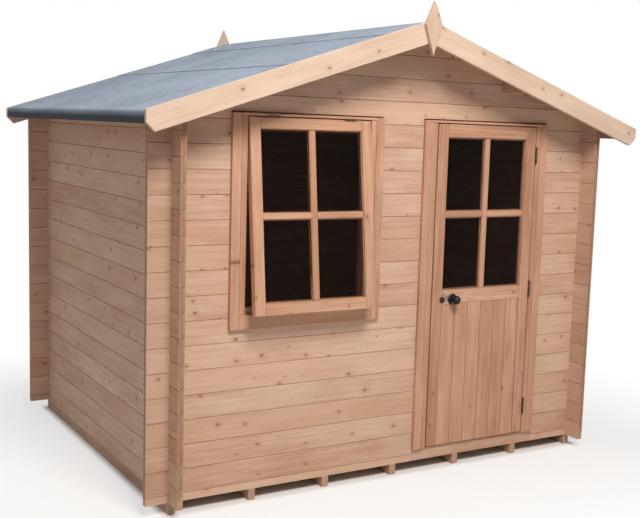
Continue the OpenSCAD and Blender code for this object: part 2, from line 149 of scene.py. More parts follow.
@dataclass(frozen=True)
class Timber:
    """Untreated spruce, planed or sawn: pale early wood, darker streaks, knots, honey end grain.

    Sizes in pairs are the length along the grain and the width across it, in millimetres.
    """

    name: str
    pale: str
    deep: str
    warm: str
    knot: str = "6b412c"
    halo: str = "9a5c34"
    cut: str = "b2886a"
    # Colour of the painted shade in the V-joints and on the log ends past the corners
    seam: str = "87604a"
    knots_per_m: float = 11.0
    knot_share: float = 0.38
    knot_size_mm: float = 6.5
    knot_edge_mm: float = 7.7
    # Real rings are 2 to 4 mm apart; they are drawn wider so that they show
    ring_mm: float = 7.0
    wave_mm: Point2 = (909.0, 200.0)
    cloud_mm: Point2 = (417.0, 125.0)
    # Real fibres are a tenth of a millimetre; streaks and threads are bundles of them
    streak_mm: Point2 = (455.0, 13.3)
    thread_mm: Point2 = (111.0, 2.38)
    scorch_mm: float = 38.5
    contrast: float = 0.5
    roughness: float = 0.68
    bump: float = 0.35

    def knots(self, g: Graph, place: bpy.types.Node) -> tuple[bpy.types.Node, bpy.types.Node]:
        """Adds knots, one to a cell of the face where a branch came through, oval along the grain.

        Args:
            g: the timber's graph.
            place: where on its own board a point lies.

        Returns:
            The knots' cores and the halos of bent grain round them, both 0 to 1.
        """
        flat = g.add("VectorMath", {0: place, 1: (0.72 * self.knots_per_m, self.knots_per_m,
                                                  0.0)}, operation="MULTIPLY")
        cell = g.add("TexVoronoi", {"Vector": flat, "Scale": 1.0, "Randomness": 0.9},
                     voronoi_dimensions="2D")
        pick = g.add("SeparateColor", {0: cell.outputs["Color"]})
        shown = g.add("Math", {0: pick, 1: self.knot_share}, operation="LESS_THAN")
        ragged = g.add("TexNoise", {"Vector": place, "Scale": cells(self.knot_edge_mm),
                                    "Detail": 2.0})
        radius = g.add("MapRange", {0: pick.outputs[1], 3: 0.3, 4: 1.35})
        unit = self.knots_per_m * self.knot_size_mm * MM
        reach = g.add("Math", {0: radius, 1: unit}, operation="MULTIPLY")
        edge = g.add("MapRange", {0: ragged, 3: 0.75, 4: 1.25})
        span = g.add("Math", {0: reach, 1: edge}, operation="MULTIPLY")
        near = g.add("Math", {0: cell.outputs["Distance"], 1: span}, operation="DIVIDE")
        found = []
        for start, full in ((1.05, 0.6), (3.6, 0.8)):
            part = g.add("MapRange", {0: near, 1: start, 2: full, 3: 0.0, 4: 1.0},
                         interpolation_type="SMOOTHSTEP")
            found.append(g.add("Math", {0: part, 1: shown}, operation="MULTIPLY"))
        return found[0], found[1]

    def rings(self, g: Graph, place: bpy.types.Node, grain: bpy.types.Node,
              rand: bpy.types.Node, halo: bpy.types.Node) -> bpy.types.Node:
        """Adds growth rings: distance from the tree's heart, bent by slow waves and by knots.

        Args:
            g: the timber's graph.
            place: where on its own board a point lies.
            grain: the grain attribute.
            rand: the board's three draws.
            halo: the halos of the knots.

        Returns:
            The rings' late wood, 0 to 1.
        """
        slow = g.add("VectorMath", {0: place, 1: stretch(*self.wave_mm)}, operation="MULTIPLY")
        wave = g.add("TexNoise", {"Vector": slow, "Scale": 1.0, "Detail": 3.0,
                                  "Roughness": 0.55})
        heart = g.add("CombineXYZ", {0: 0.0, 1: rand.outputs[1], 2: rand.outputs[2]})
        offset = g.add("VectorMath", {0: heart, 1: (0.0, 0.16, 0.09), 2: (0.0, -0.02, -0.12)},
                       operation="MULTIPLY_ADD")
        across = g.add("VectorMath", {0: grain.outputs["Vector"], 1: (0.0, 1.0, 1.0)},
                       operation="MULTIPLY")
        away = g.add("VectorMath", {0: across, 1: offset}, operation="SUBTRACT")
        dist = g.add("VectorMath", {0: away}, operation="LENGTH")
        bend = g.add("Math", {0: wave, 1: 0.055, 2: dist.outputs["Value"]},
                     operation="MULTIPLY_ADD")
        bend = g.add("Math", {0: halo, 1: 0.011, 2: bend}, operation="MULTIPLY_ADD")
        turn = g.add("Math", {0: bend, 1: 2 * math.pi / (self.ring_mm * MM)},
                     operation="MULTIPLY")
        ring = g.add("Math", {0: turn}, operation="SINE")
        return g.add("MapRange", {0: ring, 1: -0.6, 2: 1.0, 3: 0.0, 4: 1.0},
                     interpolation_type="SMOOTHSTEP")

    def streaks(self, g: Graph, place: bpy.types.Node, rand: bpy.types.Node,
                ring: bpy.types.Node, thread: bpy.types.Node) -> bpy.types.Node:
        """Adds up how dark the wood is: the board's own tone, clouds, streaks, rings, threads.

        Args:
            g: the timber's graph.
            place: where on its own board a point lies.
            rand: the board's three draws.
            ring: the growth rings.
            thread: the finest fibres.

        Returns:
            The share of the deep colour, 0 to 1.
        """
        streak_at = g.add("VectorMath", {0: place, 1: stretch(*self.streak_mm)},
                          operation="MULTIPLY")
        streak = g.add("TexNoise", {"Vector": streak_at, "Scale": 1.0, "Detail": 3.0,
                                    "Roughness": 0.6})
        cloud_at = g.add("VectorMath", {0: place, 1: stretch(*self.cloud_mm)},
                         operation="MULTIPLY")
        cloud = g.add("TexNoise", {"Vector": cloud_at, "Scale": 1.0, "Detail": 4.0,
                                   "Roughness": 0.6})
        tone = g.add("Math", {0: rand, 1: 0.42}, operation="MULTIPLY")
        drift = g.add("MapRange", {0: cloud, 1: 0.3, 2: 0.7, 3: -0.22, 4: 0.42})
        shade = g.add("Math", {0: tone, 1: drift}, operation="ADD")
        lines = g.add("MapRange", {0: streak, 1: 0.35, 2: 0.72, 3: 0.0, 4: self.contrast})
        shade = g.add("Math", {0: shade, 1: lines}, operation="ADD")
        shade = g.add("Math", {0: ring, 1: 0.3 * self.contrast, 2: shade},
                      operation="MULTIPLY_ADD")
        threads = g.add("MapRange", {0: thread, 1: 0.3, 2: 0.75, 3: -0.06, 4: 0.14})
        return g.add("Math", {0: shade, 1: threads}, operation="ADD", use_clamp=True)

    def material(self) -> bpy.types.Material:
        """Builds the timber from the attributes of its meshes: grain, board, cut, and painted shade
        for joints and log ends.

        Returns:
            The material, whose pattern follows each board's own length.
        """
        g = Graph.material(self.name)
        grain, board, seam, cut = [g.add("Attribute", attribute_name=key)
                                   for key in ("grain", "board", "seam", "cut")]
        rand = g.add("SeparateXYZ", {0: board.outputs["Vector"]})
        shift = g.add("VectorMath", {0: board.outputs["Vector"], "Scale": 41.0},
                      operation="SCALE")
        place = g.add("VectorMath", {0: grain.outputs["Vector"], 1: shift}, operation="ADD")
        core, halo = self.knots(g, place)
        ring = self.rings(g, place, grain, rand, halo)
        thread_at = g.add("VectorMath", {0: place, 1: stretch(*self.thread_mm)},
                          operation="MULTIPLY")
        thread = g.add("TexNoise", {"Vector": thread_at, "Scale": 1.0, "Detail": 2.0})
        shade = self.streaks(g, place, rand, ring, thread)
        body = g.add("Mix", {0: shade, 6: linear(self.pale), 7: linear(self.deep)},
                     data_type="RGBA")
        blush = g.add("MapRange", {0: rand.outputs[1], 3: 0.0, 4: 0.5})
        glow = g.add("Math", {0: halo, 1: 0.22}, operation="MULTIPLY")
        dark = g.add("Math", {0: core, 1: 0.62}, operation="MULTIPLY")
        # Sawn ends are darker and yellower, in patches where the saw scorched or resin bled
        patch = g.add("TexNoise", {"Vector": place, "Scale": cells(self.scorch_mm),
                                   "Detail": 3.0})
        patch = g.add("MapRange", {0: patch, 1: 0.3, 2: 0.7, 3: 0.45, 4: 0.95})
        ends = g.add("Math", {0: cut.outputs["Fac"], 1: patch}, operation="MULTIPLY")
        # Painted shade in the V-joints and on the log ends past the corners
        joint = g.add("Math", {0: seam.outputs["Fac"], 1: 0.7}, operation="MULTIPLY",
                      use_clamp=True)
        for share, colour in ((blush, self.warm), (glow, self.halo), (dark, self.knot),
                              (ends, self.cut), (joint, self.seam)):
            body = g.add("Mix", {0: share, 6: body.outputs[2], 7: linear(colour)},
                         data_type="RGBA")
        height = g.add("Math", {0: ring, 1: 0.35, 2: thread}, operation="MULTIPLY_ADD")
        height = g.add("Math", {0: core, 1: 0.5, 2: height}, operation="MULTIPLY_ADD")
        bump = g.add("Bump", {"Strength": self.bump, "Distance": 0.6 * MM, "Height": height})
        rough = g.add("MapRange", {0: thread, 3: self.roughness - 0.08,
                                   4: self.roughness + 0.12})
        return g.finish(g.add("BsdfPrincipled", {
            "Base Color": body.outputs[2], "Roughness": rough, "IOR": 1.5,
            "Specular IOR Level": 0.3, "Normal": bump}))


@dataclass(frozen=True)
class MineralFelt:
    """Bitumen roofing felt rolled with crushed slate: blue-grey, speckled and quite matt."""

    name: str = "slate_mineral_bitumen_felt"
    stone: str = "8f9aa8"
    dark: str = "646f7d"
    fleck: str = "b9c0c8"
    # Colour of the painted shade on the turned-down fold at the eave
    edge: str = "2b2e34"
    # Real granules are 1 mm; they are drawn 4 mm across so that they show
    grit_mm: float = 4.17
    mottle_mm: float = 45.5
    drift_mm: float = 455.0

    def material(self) -> bpy.types.Material:
        """Builds the felt; its turned-down fold at the eave, cut edge and all, is darkened with
        painted shade.
        """
        g = Graph.material(self.name)
        where = g.add("TexCoord").outputs["Object"]
        grit, mottle, drift = [
            g.add("TexNoise", {"Vector": where, "Scale": cells(size), "Detail": detail,
                               "Roughness": rough})
            for size, detail, rough in ((self.grit_mm, 2.0, 0.7), (self.mottle_mm, 4.0, 0.65),
                                        (self.drift_mm, 3.0, 0.5))]
        patch = g.add("MapRange", {0: mottle, 1: 0.3, 2: 0.7, 3: 0.0, 4: 0.55})
        cloud = g.add("MapRange", {0: drift, 1: 0.3, 2: 0.7, 3: -0.12, 4: 0.3})
        dark = g.add("Math", {0: patch, 1: cloud}, operation="ADD", use_clamp=True)
        body = g.add("Mix", {0: dark, 6: linear(self.stone), 7: linear(self.dark)},
                     data_type="RGBA")
        spark = g.add("MapRange", {0: grit, 1: 0.56, 2: 0.72, 3: 0.0, 4: 0.6})
        # Painted shade on the turned-down fold at the eave
        edge = g.add("Attribute", attribute_name="seam").outputs["Fac"]
        for share, colour in ((spark, self.fleck), (edge, self.edge)):
            body = g.add("Mix", {0: share, 6: body.outputs[2], 7: linear(colour)},
                         data_type="RGBA")
        bump = g.add("Bump", {"Strength": 0.6, "Distance": 1.2 * MM, "Height": grit})
        return g.finish(g.add("BsdfPrincipled", {
            "Base Color": body.outputs[2], "Roughness": 0.9, "IOR": 1.5,
            "Specular IOR Level": 0.25, "Normal": bump}))


@dataclass(frozen=True)
class WindowGlass:
    """Drawn horticultural glass: clear, slightly uneven, dark because the room behind is dark."""

    name: str = "clear_drawn_glass"
    # A near neutral smoke: the warmth of the panes is the timber behind them
    tint: str = "b0a49e"
    # Real glass is 1.52; the panes here mirror almost nothing, so it is matched lower
    ior: float = 1.11
    ripple_mm: float = 143.0

    def material(self) -> bpy.types.Material:
        """Builds the glass with a faint ripple left by drawing."""
        g = Graph.material(self.name)
        where = g.add("TexCoord").outputs["Object"]
        ripple = g.add("TexNoise", {"Vector": where, "Scale": cells(self.ripple_mm),
                                    "Detail": 1.0})
        bump = g.add("Bump", {"Strength": 0.12, "Distance": 2 * MM, "Height": ripple})
        return g.finish(g.add("BsdfPrincipled", {
            "Base Color": linear(self.tint), "Roughness": 0.03, "IOR": self.ior,
            "Transmission Weight": 1.0, "Normal": bump}))


@dataclass(frozen=True)
class Ironwork:
    """Metal of the fittings: cast and japanned, plated, or browned with age and handling."""

    name: str
    colour: str
    worn: str
    metallic: float
    roughness: float
    # Real casting grain is under 0.5 mm; it is drawn coarse so that it shows
    grain_mm: float = 2.38
    rub_mm: float = 15.4

    def material(self) -> bpy.types.Material:
        """Builds the metal with casting grain and patches rubbed by hands and the elements."""
        g = Graph.material(self.name)
        where = g.add("TexCoord").outputs["Object"]
        grain, rub = [g.add("TexNoise", {"Vector": where, "Scale": cells(size),
                                         "Detail": detail})
                      for size, detail in ((self.grain_mm, 2.0), (self.rub_mm, 3.0))]
        wear = g.add("MapRange", {0: rub, 1: 0.5, 2: 0.75, 3: 0.0, 4: 0.5})
        body = g.add("Mix", {0: wear, 6: linear(self.colour), 7: linear(self.worn)},
                     data_type="RGBA")
        rough = g.add("MapRange", {0: rub, 3: self.roughness - 0.1, 4: self.roughness + 0.12})
        bump = g.add("Bump", {"Strength": 0.25, "Distance": 0.3 * MM, "Height": grain})
        return g.finish(g.add("BsdfPrincipled", {
            "Base Color": body.outputs[2], "Roughness": rough, "Metallic": self.metallic,
            "Normal": bump}))


@dataclass(frozen=True)
class Finishes:
    """Every finish of the cabin, each built once."""

    logs: bpy.types.Material
    sawn: bpy.types.Material
    trim: bpy.types.Material
    joinery: bpy.types.Material
    felt: bpy.types.Material
    glass: bpy.types.Material
    iron: bpy.types.Material
    brass: bpy.types.Material
    zinc: bpy.types.Material
    dull: bpy.types.Material

    @staticmethod
    def make() -> "Finishes":
        """Builds all the finishes.

        Returns:
            The set of materials.
        """
        return Finishes(
            # Planed smooth: warm, soft streaks and a low even sheen
            logs=Timber("planed_spruce_logs", "d4b8a5", "b48c74", "c8a286",
                        contrast=0.42).material(),
            # Left from the saw: duller and furry, its fibres standing up in the light
            sawn=Timber("sawn_spruce", "c4a48e", "9c7a60", "b4927a", cut="b0907c", bump=0.6,
                        roughness=0.8).material(),
            # Picked paler boards, planed: the lightest timber, at the edges of the roof
            trim=Timber("planed_spruce_trim", "d8c4b1", "b99a84", "d2b9a2", cut="c4a088",
                        knots_per_m=10.0, knot_share=0.42, contrast=0.38).material(),
            # Slow-grown redwood, planed: redder than the logs, with fewer and smaller knots
            joinery=Timber("planed_redwood_joinery", "cfa68d", "a4775d", "c09172",
                           knots_per_m=9.0, knot_share=0.3, knot_size_mm=6.0).material(),
            felt=MineralFelt().material(),
            glass=WindowGlass().material(),
            # Baked black lacquer over a casting: near black with a soft broad highlight
            iron=Ironwork("black_japanned_cast_iron", "0e0d0d", "2a2624", 0.4, 0.38).material(),
            # Brass browned out of doors: dark, with gold where it is rubbed
            brass=Ironwork("browned_brass", "4a2c1c", "8a5c34", 0.8, 0.42).material(),
            # Bright zinc plate: pale and fairly glossy
            zinc=Ironwork("zinc_plated_steel", "b9bbbd", "8d8f92", 0.9, 0.35).material(),
            # Zinc gone dull and brown out of doors, so that it sits quietly on the timber
            dull=Ironwork("tarnished_zinc_steel", "5a4438", "84695a", 0.6, 0.55).material(),
        )


class BoardMesh:
    """Gathers boards into one mesh and carries the attributes that the timber reads."""

    def __init__(self, name: str, seed: int) -> None:
        """Starts an empty mesh.

        Args:
            name: the piece's name.
            seed: fixes this piece's random draws.
        """
        self.name = name
        self.rng = random.Random(seed)
        self.points: list[Vector] = []
        self.faces: list[list[int]] = []
        self.grain: list[Vector] = []
        self.board: list[Point3] = []
        self.seam: list[float] = []
        self.cut: list[float] = []

    def add(self, shape: bmesh.types.BMesh, rows: Matrix, groove: float = 0.0,
            thickness: float = 0.0, key: int | None = None) -> None:
        """Adds one board and frees its shape.

        Args:
            shape: the board in the cabin's frame.
            rows: board to cabin; its X is the grain, its Y the width, its Z the thickness.
            groove: depth in metres over which the painted shade of a joint grows to full, or 0.
            thickness: the board's thickness, used with groove.
            key: boards of one key share their draws, as parts of one log do.
        """
        bmesh.ops.recalc_face_normals(shape, faces=shape.faces)
        back = rows.inverted()
        start = len(self.points)
        rng = self.rng if key is None else random.Random(key)
        draw = [rng.random() for _ in range(3)]
        shape.verts.index_update()
        for vert in shape.verts:
            local = back @ vert.co
            self.points.append(vert.co.copy())
            self.grain.append(local)
            self.board.append(draw)
            # Painted shade of a joint: none on the shown face, full at the groove's depth
            depth = min(local.z, thickness - local.z) - 0.0003 if groove else 0.0
            self.seam.append(min(1.0, max(0.0, depth / groove)) if groove else 0.0)
        along = (rows.to_3x3() @ Vector((1, 0, 0))).normalized()
        for face in shape.faces:
            self.faces.append([start + v.index for v in face.verts])
            self.cut.append(1.0 if abs(face.normal.dot(along)) > 0.75 else 0.0)
        shape.free()

    def bar(self, low: Point3, high: Point3, along: Along, edge: float = 0.0015,
            turn: Matrix | None = None) -> None:
        """Adds a rectangular piece with eased edges.

        Args:
            low: lowest corner in metres.
            high: highest corner.
            along: the direction of its grain.
            edge: size of the eased edge.
            turn: an extra placing of the whole piece.
        """
        low, high = Vector(low), Vector(high)
        size = high - low
        shape = bmesh.new()
        bmesh.ops.create_cube(shape, size=1.0)
        for vert in shape.verts:
            vert.co = Vector([low[i] + (vert.co[i] + 0.5) * size[i] for i in range(3)])
        if edge:
            bmesh.ops.bevel(shape, geom=list(shape.edges), offset=edge, segments=2,
                            profile=0.5, affect="EDGES")
        rest = [i for i in range(3) if i != along.value]
        rest.sort(key=lambda i: -size[i])
        axes = [tuple(float(i == axis) for i in range(3)) for axis in [along.value] + rest]
        rows = rows_of(*axes, low)
        if turn is not None:
            shape.transform(turn)
            rows = turn @ rows
        self.add(shape, rows)

    def build(self, finish: bpy.types.Material, body: str, *replaced: str,
              slot: str = "") -> bpy.types.Object:
        """Makes the object, dresses it and hands it to its body.

        Args:
            finish: the piece's material.
            body: the CAD body that it rides on.
            replaced: the CAD nodes that it stands for.
            slot: the record's material slot.

        Returns:
            The new object.
        """
        mesh = bpy.data.meshes.new(self.name)
        mesh.from_pydata([tuple(p) for p in self.points], [], self.faces)
        for key, values in (("grain", self.grain), ("board", self.board)):
            layer = mesh.attributes.new(key, "FLOAT_VECTOR", "POINT")
            layer.data.foreach_set("vector", [c for v in values for c in v])
        # Painted shade: V-joints, log ends past the corners and the felt's fold at the eave
        layer = mesh.attributes.new("seam", "FLOAT", "POINT")
        layer.data.foreach_set("value", self.seam)
        layer = mesh.attributes.new("cut", "FLOAT", "FACE")
        layer.data.foreach_set("value", self.cut)
        return place(self.name, mesh, finish, body, *replaced, slot=slot)


def place(name: str, mesh: bpy.types.Mesh, finish: bpy.types.Material, body: str,
          *replaced: str, slot: str = "") -> bpy.types.Object:
    """Puts a mesh in the scene as one piece of the cabin.

    Args:
        name: the piece's name.
        mesh: its mesh, already in the cabin's frame.
        finish: its material.
        body: the CAD body that it rides on.
        replaced: the CAD nodes that it stands for.
        slot: the record's material slot; not used.

    Returns:
        The new object.
    """
    mesh.update()
    mesh.materials.append(finish)
    piece = bpy.data.objects.new(name, mesh)
    bpy.context.scene.collection.objects.link(piece)
    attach(piece, body)
    if replaced:
        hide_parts(*replaced)
    LOG.info("%s: %d faces on %s", name, len(mesh.polygons), body)
    return piece


def place_shape(name: str, shape: bmesh.types.BMesh, finish: bpy.types.Material, body: str,
                *replaced: str, slot: str = "") -> None:
    """Puts a shape in the scene as one piece of the cabin and frees it.

    Args:
        name: the piece's name.
        shape: its shape, in the cabin's frame.
        finish: its material.
        body: the CAD body that it rides on.
        replaced: the CAD nodes that it stands for.
        slot: the record's material slot.
    """
    mesh = bpy.data.meshes.new(name)
    shape.to_mesh(mesh)
    shape.free()
    place(name, mesh, finish, body, *replaced, slot=slot)


def rows_of(along: Point3, across: Point3, through: Point3, origin: Point3) -> Matrix:
    """The placing of a board in the cabin.

    Args:
        along: direction of its grain.
        across: direction of its width.
        through: direction of its thickness.
        origin: where its own origin lies.

    Returns:
        Board to cabin.
    """
    rows = Matrix((along, across, through)).transposed().to_4x4()
    rows.translation = origin
    return rows


def single(name: str, node: str, seed: int, finish: bpy.types.Material, slot: str) -> None:
    """Builds a CAD node that is one board along X.

    Args:
        name: the piece's name.
        node: the CAD node.
        seed: fixes the random draws.
        finish: the piece's material.
        slot: the record's material slot.
    """
    low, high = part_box(node)
    mesh = BoardMesh(name, seed)
    mesh.bar(low, high, Along.X, 0.002)
    mesh.build(finish, "cabin", node, slot=slot)


def matched(width: float, thick: float, v: float, gap: float) -> list[Point2]:
    """The end view of a matched board, with half a V at each edge of its shown face.

    Args:
        width: the board's cover.
        thick: its thickness.
        v: depth and width of the half V.
        gap: half of the open joint between boards.

    Returns:
        Points across and through the board.
    """
    return [(gap, v), (v, 0.0), (width - v, 0.0), (width - gap, v), (width - gap, thick),
            (gap, thick)]


def skin(shape: bmesh.types.BMesh, rings: Sequence[Sequence[bmesh.types.BMVert]]) -> None:
    """Joins rings of points into a tube and fills both its ends.

    Args:
        shape: the mesh that holds the points.
        rings: the rings in order, all with the same count of points.
    """
    for a, b in zip(rings, rings[1:]):
        for i in range(len(a)):
            j = (i + 1) % len(a)
            shape.faces.new((a[i], a[j], b[j], b[i]))
    shape.faces.new(rings[0])
    shape.faces.new(list(reversed(rings[-1])))


def slab(outline: Sequence[Point2], front: float, back: float,
         edge: float) -> bmesh.types.BMesh:
    """Makes a flat board from its front view, with eased edges.

    Args:
        outline: points in X and Z.
        front: Y of its front face.
        back: Y of its back face.
        edge: size of the eased edge.

    Returns:
        The closed shape.
    """
    shape = bmesh.new()
    skin(shape, [[shape.verts.new((x, y, z)) for x, z in outline] for y in (front, back)])
    bmesh.ops.recalc_face_normals(shape, faces=shape.faces)
    bmesh.ops.bevel(shape, geom=list(shape.edges), offset=edge, segments=2, profile=0.5,
                    affect="EDGES")
    return shape


def trim_to(shape: bmesh.types.BMesh, point: Point3, outward: Point3) -> bool:
    """Cuts away what lies beyond a plane and closes the cut.

    Args:
        shape: the mesh to cut.
        point: a point of the plane.
        outward: the side that is cut away.

    Returns:
        Whether anything is left.
    """
    geometry = list(shape.verts) + list(shape.edges) + list(shape.faces)
    result = bmesh.ops.bisect_plane(shape, geom=geometry, dist=1e-6, plane_co=point,
                                    plane_no=outward, clear_outer=True)
    edges = [e for e in result["geom_cut"] if isinstance(e, bmesh.types.BMEdge)]
    if edges:
        bmesh.ops.holes_fill(shape, edges=[e for e in shape.edges if e.is_boundary], sides=0)
    return bool(shape.faces)


def sweep(outline: Sequence[Point2], stations: Sequence[float], rows: Matrix,
          wander: float = 0.0, seed: float = 0.0) -> bmesh.types.BMesh:
    """Sweeps an outline along a board's own X.

    Args:
        outline: points in the board's Y and Z.
        stations: distances along X at which the outline is repeated.
        rows: board to cabin.
        wander: how far, in metres, the board bows in its thickness.
        seed: moves the bow's pattern.

    Returns:
        The closed shape in the cabin's frame.
    """
    shape = bmesh.new()
    rings = []
    for x in stations:
        bow = wander * noise.noise(Vector((x * 2.1, seed, 0.0)))
        rings.append([shape.verts.new(rows @ Vector((x, y, z + bow))) for y, z in outline])
    skin(shape, rings)
    return shape


def steps(low: float, high: float, pitch: float) -> list[float]:
    """Spaces stations evenly.

    Args:
        low: the first station.
        high: the last station.
        pitch: about how far apart they are.

    Returns:
        The stations, both ends among them.
    """
    count = max(1, round((high - low) / pitch))
    return [low + (high - low) * i / count for i in range(count + 1)]


@dataclass
class Roof:
    """The roof's planes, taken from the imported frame."""

    pitch: float = math.radians(18.5)
    board_thick: float = 0.016

    def __post_init__(self) -> None:
        """Reads the roof boards' and felt's heights from the frame."""
        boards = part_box("roof_boards_right")
        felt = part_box("roof_felt_right")
        self.slope = math.tan(self.pitch)
        self.board_top = boards[1].z
        self.under = self.board_top - self.board_thick / math.cos(self.pitch)
        self.y0, self.y1 = felt[0].y, felt[1].y
        self.edge = boards[1].x
        self.eave = felt[1].x
        self.eave_foot = felt[0].z

    def cut_plane(self, side: int) -> tuple[Vector, Vector]:
        """A point and the upward direction of the boards' underside on one side."""
        return (Vector((0, 0, self.under - 0.0004)),
                Vector((side * math.sin(self.pitch), 0, math.cos(self.pitch))))


@dataclass
class LogWalls:
    """Interlocked wall logs: 28 mm thick, 114 mm cover, a V-joint on both faces and a tongue."""

    finish: bpy.types.Material
    roof: Roof
    cover: float = 0.114
    groove: float = 0.0022
    tongue: float = 0.0075
    tongue_half: float = 0.0032
    slot: float = 0.0085
    slot_half: float = 0.0038
    taper: float = 0.001
    sliver: float = 0.004
    front_first: float = 0.092
    side_first: float = 0.149
    station: float = 0.22
    # Share of painted shade on the log ends that stand out past the corners
    end_shade: float = 0.3

    def outline(self, thick: float) -> list[Point2]:
        """The end view of one log, from its foot up its outer face and down its inner face.

        Args:
            thick: the log's thickness.

        Returns:
            Points across and through the log.
        """
        h, g, m, gap = self.cover, self.groove, thick / 2, 0.0004
        tongue, slot = self.tongue_half, self.slot_half
        return [
            (gap, g), (g, 0.0), (h - g, 0.0), (h - gap, g),
            (h - gap, m - tongue - self.taper), (h + self.tongue, m - tongue),
            (h + self.tongue, m + tongue), (h - gap, m + tongue + self.taper),
            (h - gap, thick - g), (h - g, thick), (g, thick), (gap, thick - g),
            (gap, m + slot + self.taper), (self.slot, m + slot), (self.slot, m - slot),
            (gap, m - slot - self.taper),
        ]

    def rows(self, side: str, start: float, foot: float) -> Matrix:
        """The placing of one log.

        Args:
            side: front, rear, left or right.
            start: where the log's own X starts.
            foot: height of the log's foot.

        Returns:
            Board to cabin.
        """
        face = {"front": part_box("front_wall_middle")[0].y, "rear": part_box("rear_wall")[1].y,
                "left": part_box("left_wall")[0].x, "right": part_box("right_wall")[1].x}[side]
        inward = -1.0 if side in ("rear", "right") else 1.0
        if side in ("front", "rear"):
            return rows_of((1, 0, 0), (0, 0, 1), (0, inward, 0), (start, face, foot))
        return rows_of((0, 1, 0), (0, 0, 1), (inward, 0, 0), (face, start, foot))

    def stack(self, node: str, side: str, seed: int, clip_roof: bool = False) -> None:
        """Builds one CAD wall piece from its logs.

        Args:
            node: the CAD node that the logs stand for.
            side: front, rear, left or right.
            seed: fixes the random draws.
            clip_roof: whether the logs are cut to the roof's slope.
        """
        low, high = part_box(node)
        wide = side in ("front", "rear")
        start, end = (low.x, high.x) if wide else (low.y, high.y)
        first = self.front_first if wide else self.side_first
        thick = (high.y - low.y) if wide else (high.x - low.x)
        mesh = BoardMesh("logs_" + node, seed)
        foot = first - self.cover
        while foot < high.z - self.sliver:
            if foot + self.cover > low.z + self.sliver:
                rows = self.rows(side, 0.0, foot)
                log = round(foot * 1000) * 10 + len(side)
                shape = sweep(self.outline(thick), steps(start, end, self.station), rows,
                              0.0004, foot * 7 + len(side))
                keep = trim_to(shape, (0, 0, low.z), (0, 0, -1))
                keep = keep and trim_to(shape, (0, 0, high.z), (0, 0, 1))
                if keep and clip_roof:
                    for way in (1, -1):
                        keep = keep and trim_to(shape, *self.roof.cut_plane(way))
                if keep:
                    first_point = len(mesh.points)
                    # The V-joints get painted shade over the groove's depth
                    mesh.add(shape, rows, self.groove, thick, log)
                    # Painted shade on the log ends that stand out past the corners
                    self.shade_log_ends(mesh, first_point, wide)
                else:
                    shape.free()
            foot += self.cover
        mesh.build(self.finish, "cabin", node, slot="log_timber")

    def shade_log_ends(self, mesh: BoardMesh, first: int, wide: bool) -> None:
        """Darkens with painted shade the part of each log that stands out past the corner.

        Args:
            mesh: the mesh that the log has been added to.
            first: number of the log's first point.
            wide: whether the log runs along X.
        """
        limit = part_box("right_wall")[1].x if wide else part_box("rear_wall")[1].y
        for k in range(first, len(mesh.points)):
            point = mesh.points[k]
            if abs(point.x if wide else point.y) > limit + 0.02:
                mesh.seam[k] = max(mesh.seam[k], self.end_shade)

    def build(self) -> None:
        """Builds every wall, gable and header log."""
        for node, side, seed, clip_roof in (
                ("left_wall", "left", 11, True), ("right_wall", "right", 12, True),
                ("rear_wall", "rear", 13, True), ("front_wall_left", "front", 14, True),
                ("front_wall_right", "front", 15, True),
                ("front_wall_under_window", "front", 16, False),
                ("front_wall_middle", "front", 17, False),
                ("window_header_log", "front", 18, False),
                ("door_header_log", "front", 19, False), ("front_gable", "front", 20, True),
                ("rear_gable", "rear", 21, True)):
            self.stack(node, side, seed, clip_roof)
        single("door_sill_board", "door_sill_log", 22, self.finish, "log_timber")


@dataclass
class Floor:
    """Sawn joists with tongued and grooved boards across them."""

    finish: bpy.types.Material
    board_width: float = 0.116
    joists: int = 7
    joist_width: float = 0.036
    joint: float = 0.0004

    def build(self) -> None:
        """Builds the joists and the floorboards."""
        low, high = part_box("floor_joists")
        joists = BoardMesh("sawn_joists", 31)
        pitch = (high.x - low.x - self.joist_width) / (self.joists - 1)
        for i in range(self.joists):
            x = low.x + i * pitch
            joists.bar((x, low.y, low.z), (x + self.joist_width, high.y, high.z), Along.Y)
        joists.build(self.finish, "cabin", "floor_joists", slot="sawn_timber")
        low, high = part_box("floor_boards")
        boards = BoardMesh("tongued_floorboards", 32)
        count = round((high.y - low.y) / self.board_width)
        width = (high.y - low.y) / count
        for i in range(count):
            y = low.y + i * width
            boards.bar((low.x, y + self.joint, low.z),
                       (high.x, y + width - self.joint, high.z), Along.X)
        boards.build(self.finish, "cabin", "floor_boards", slot="sawn_timber")


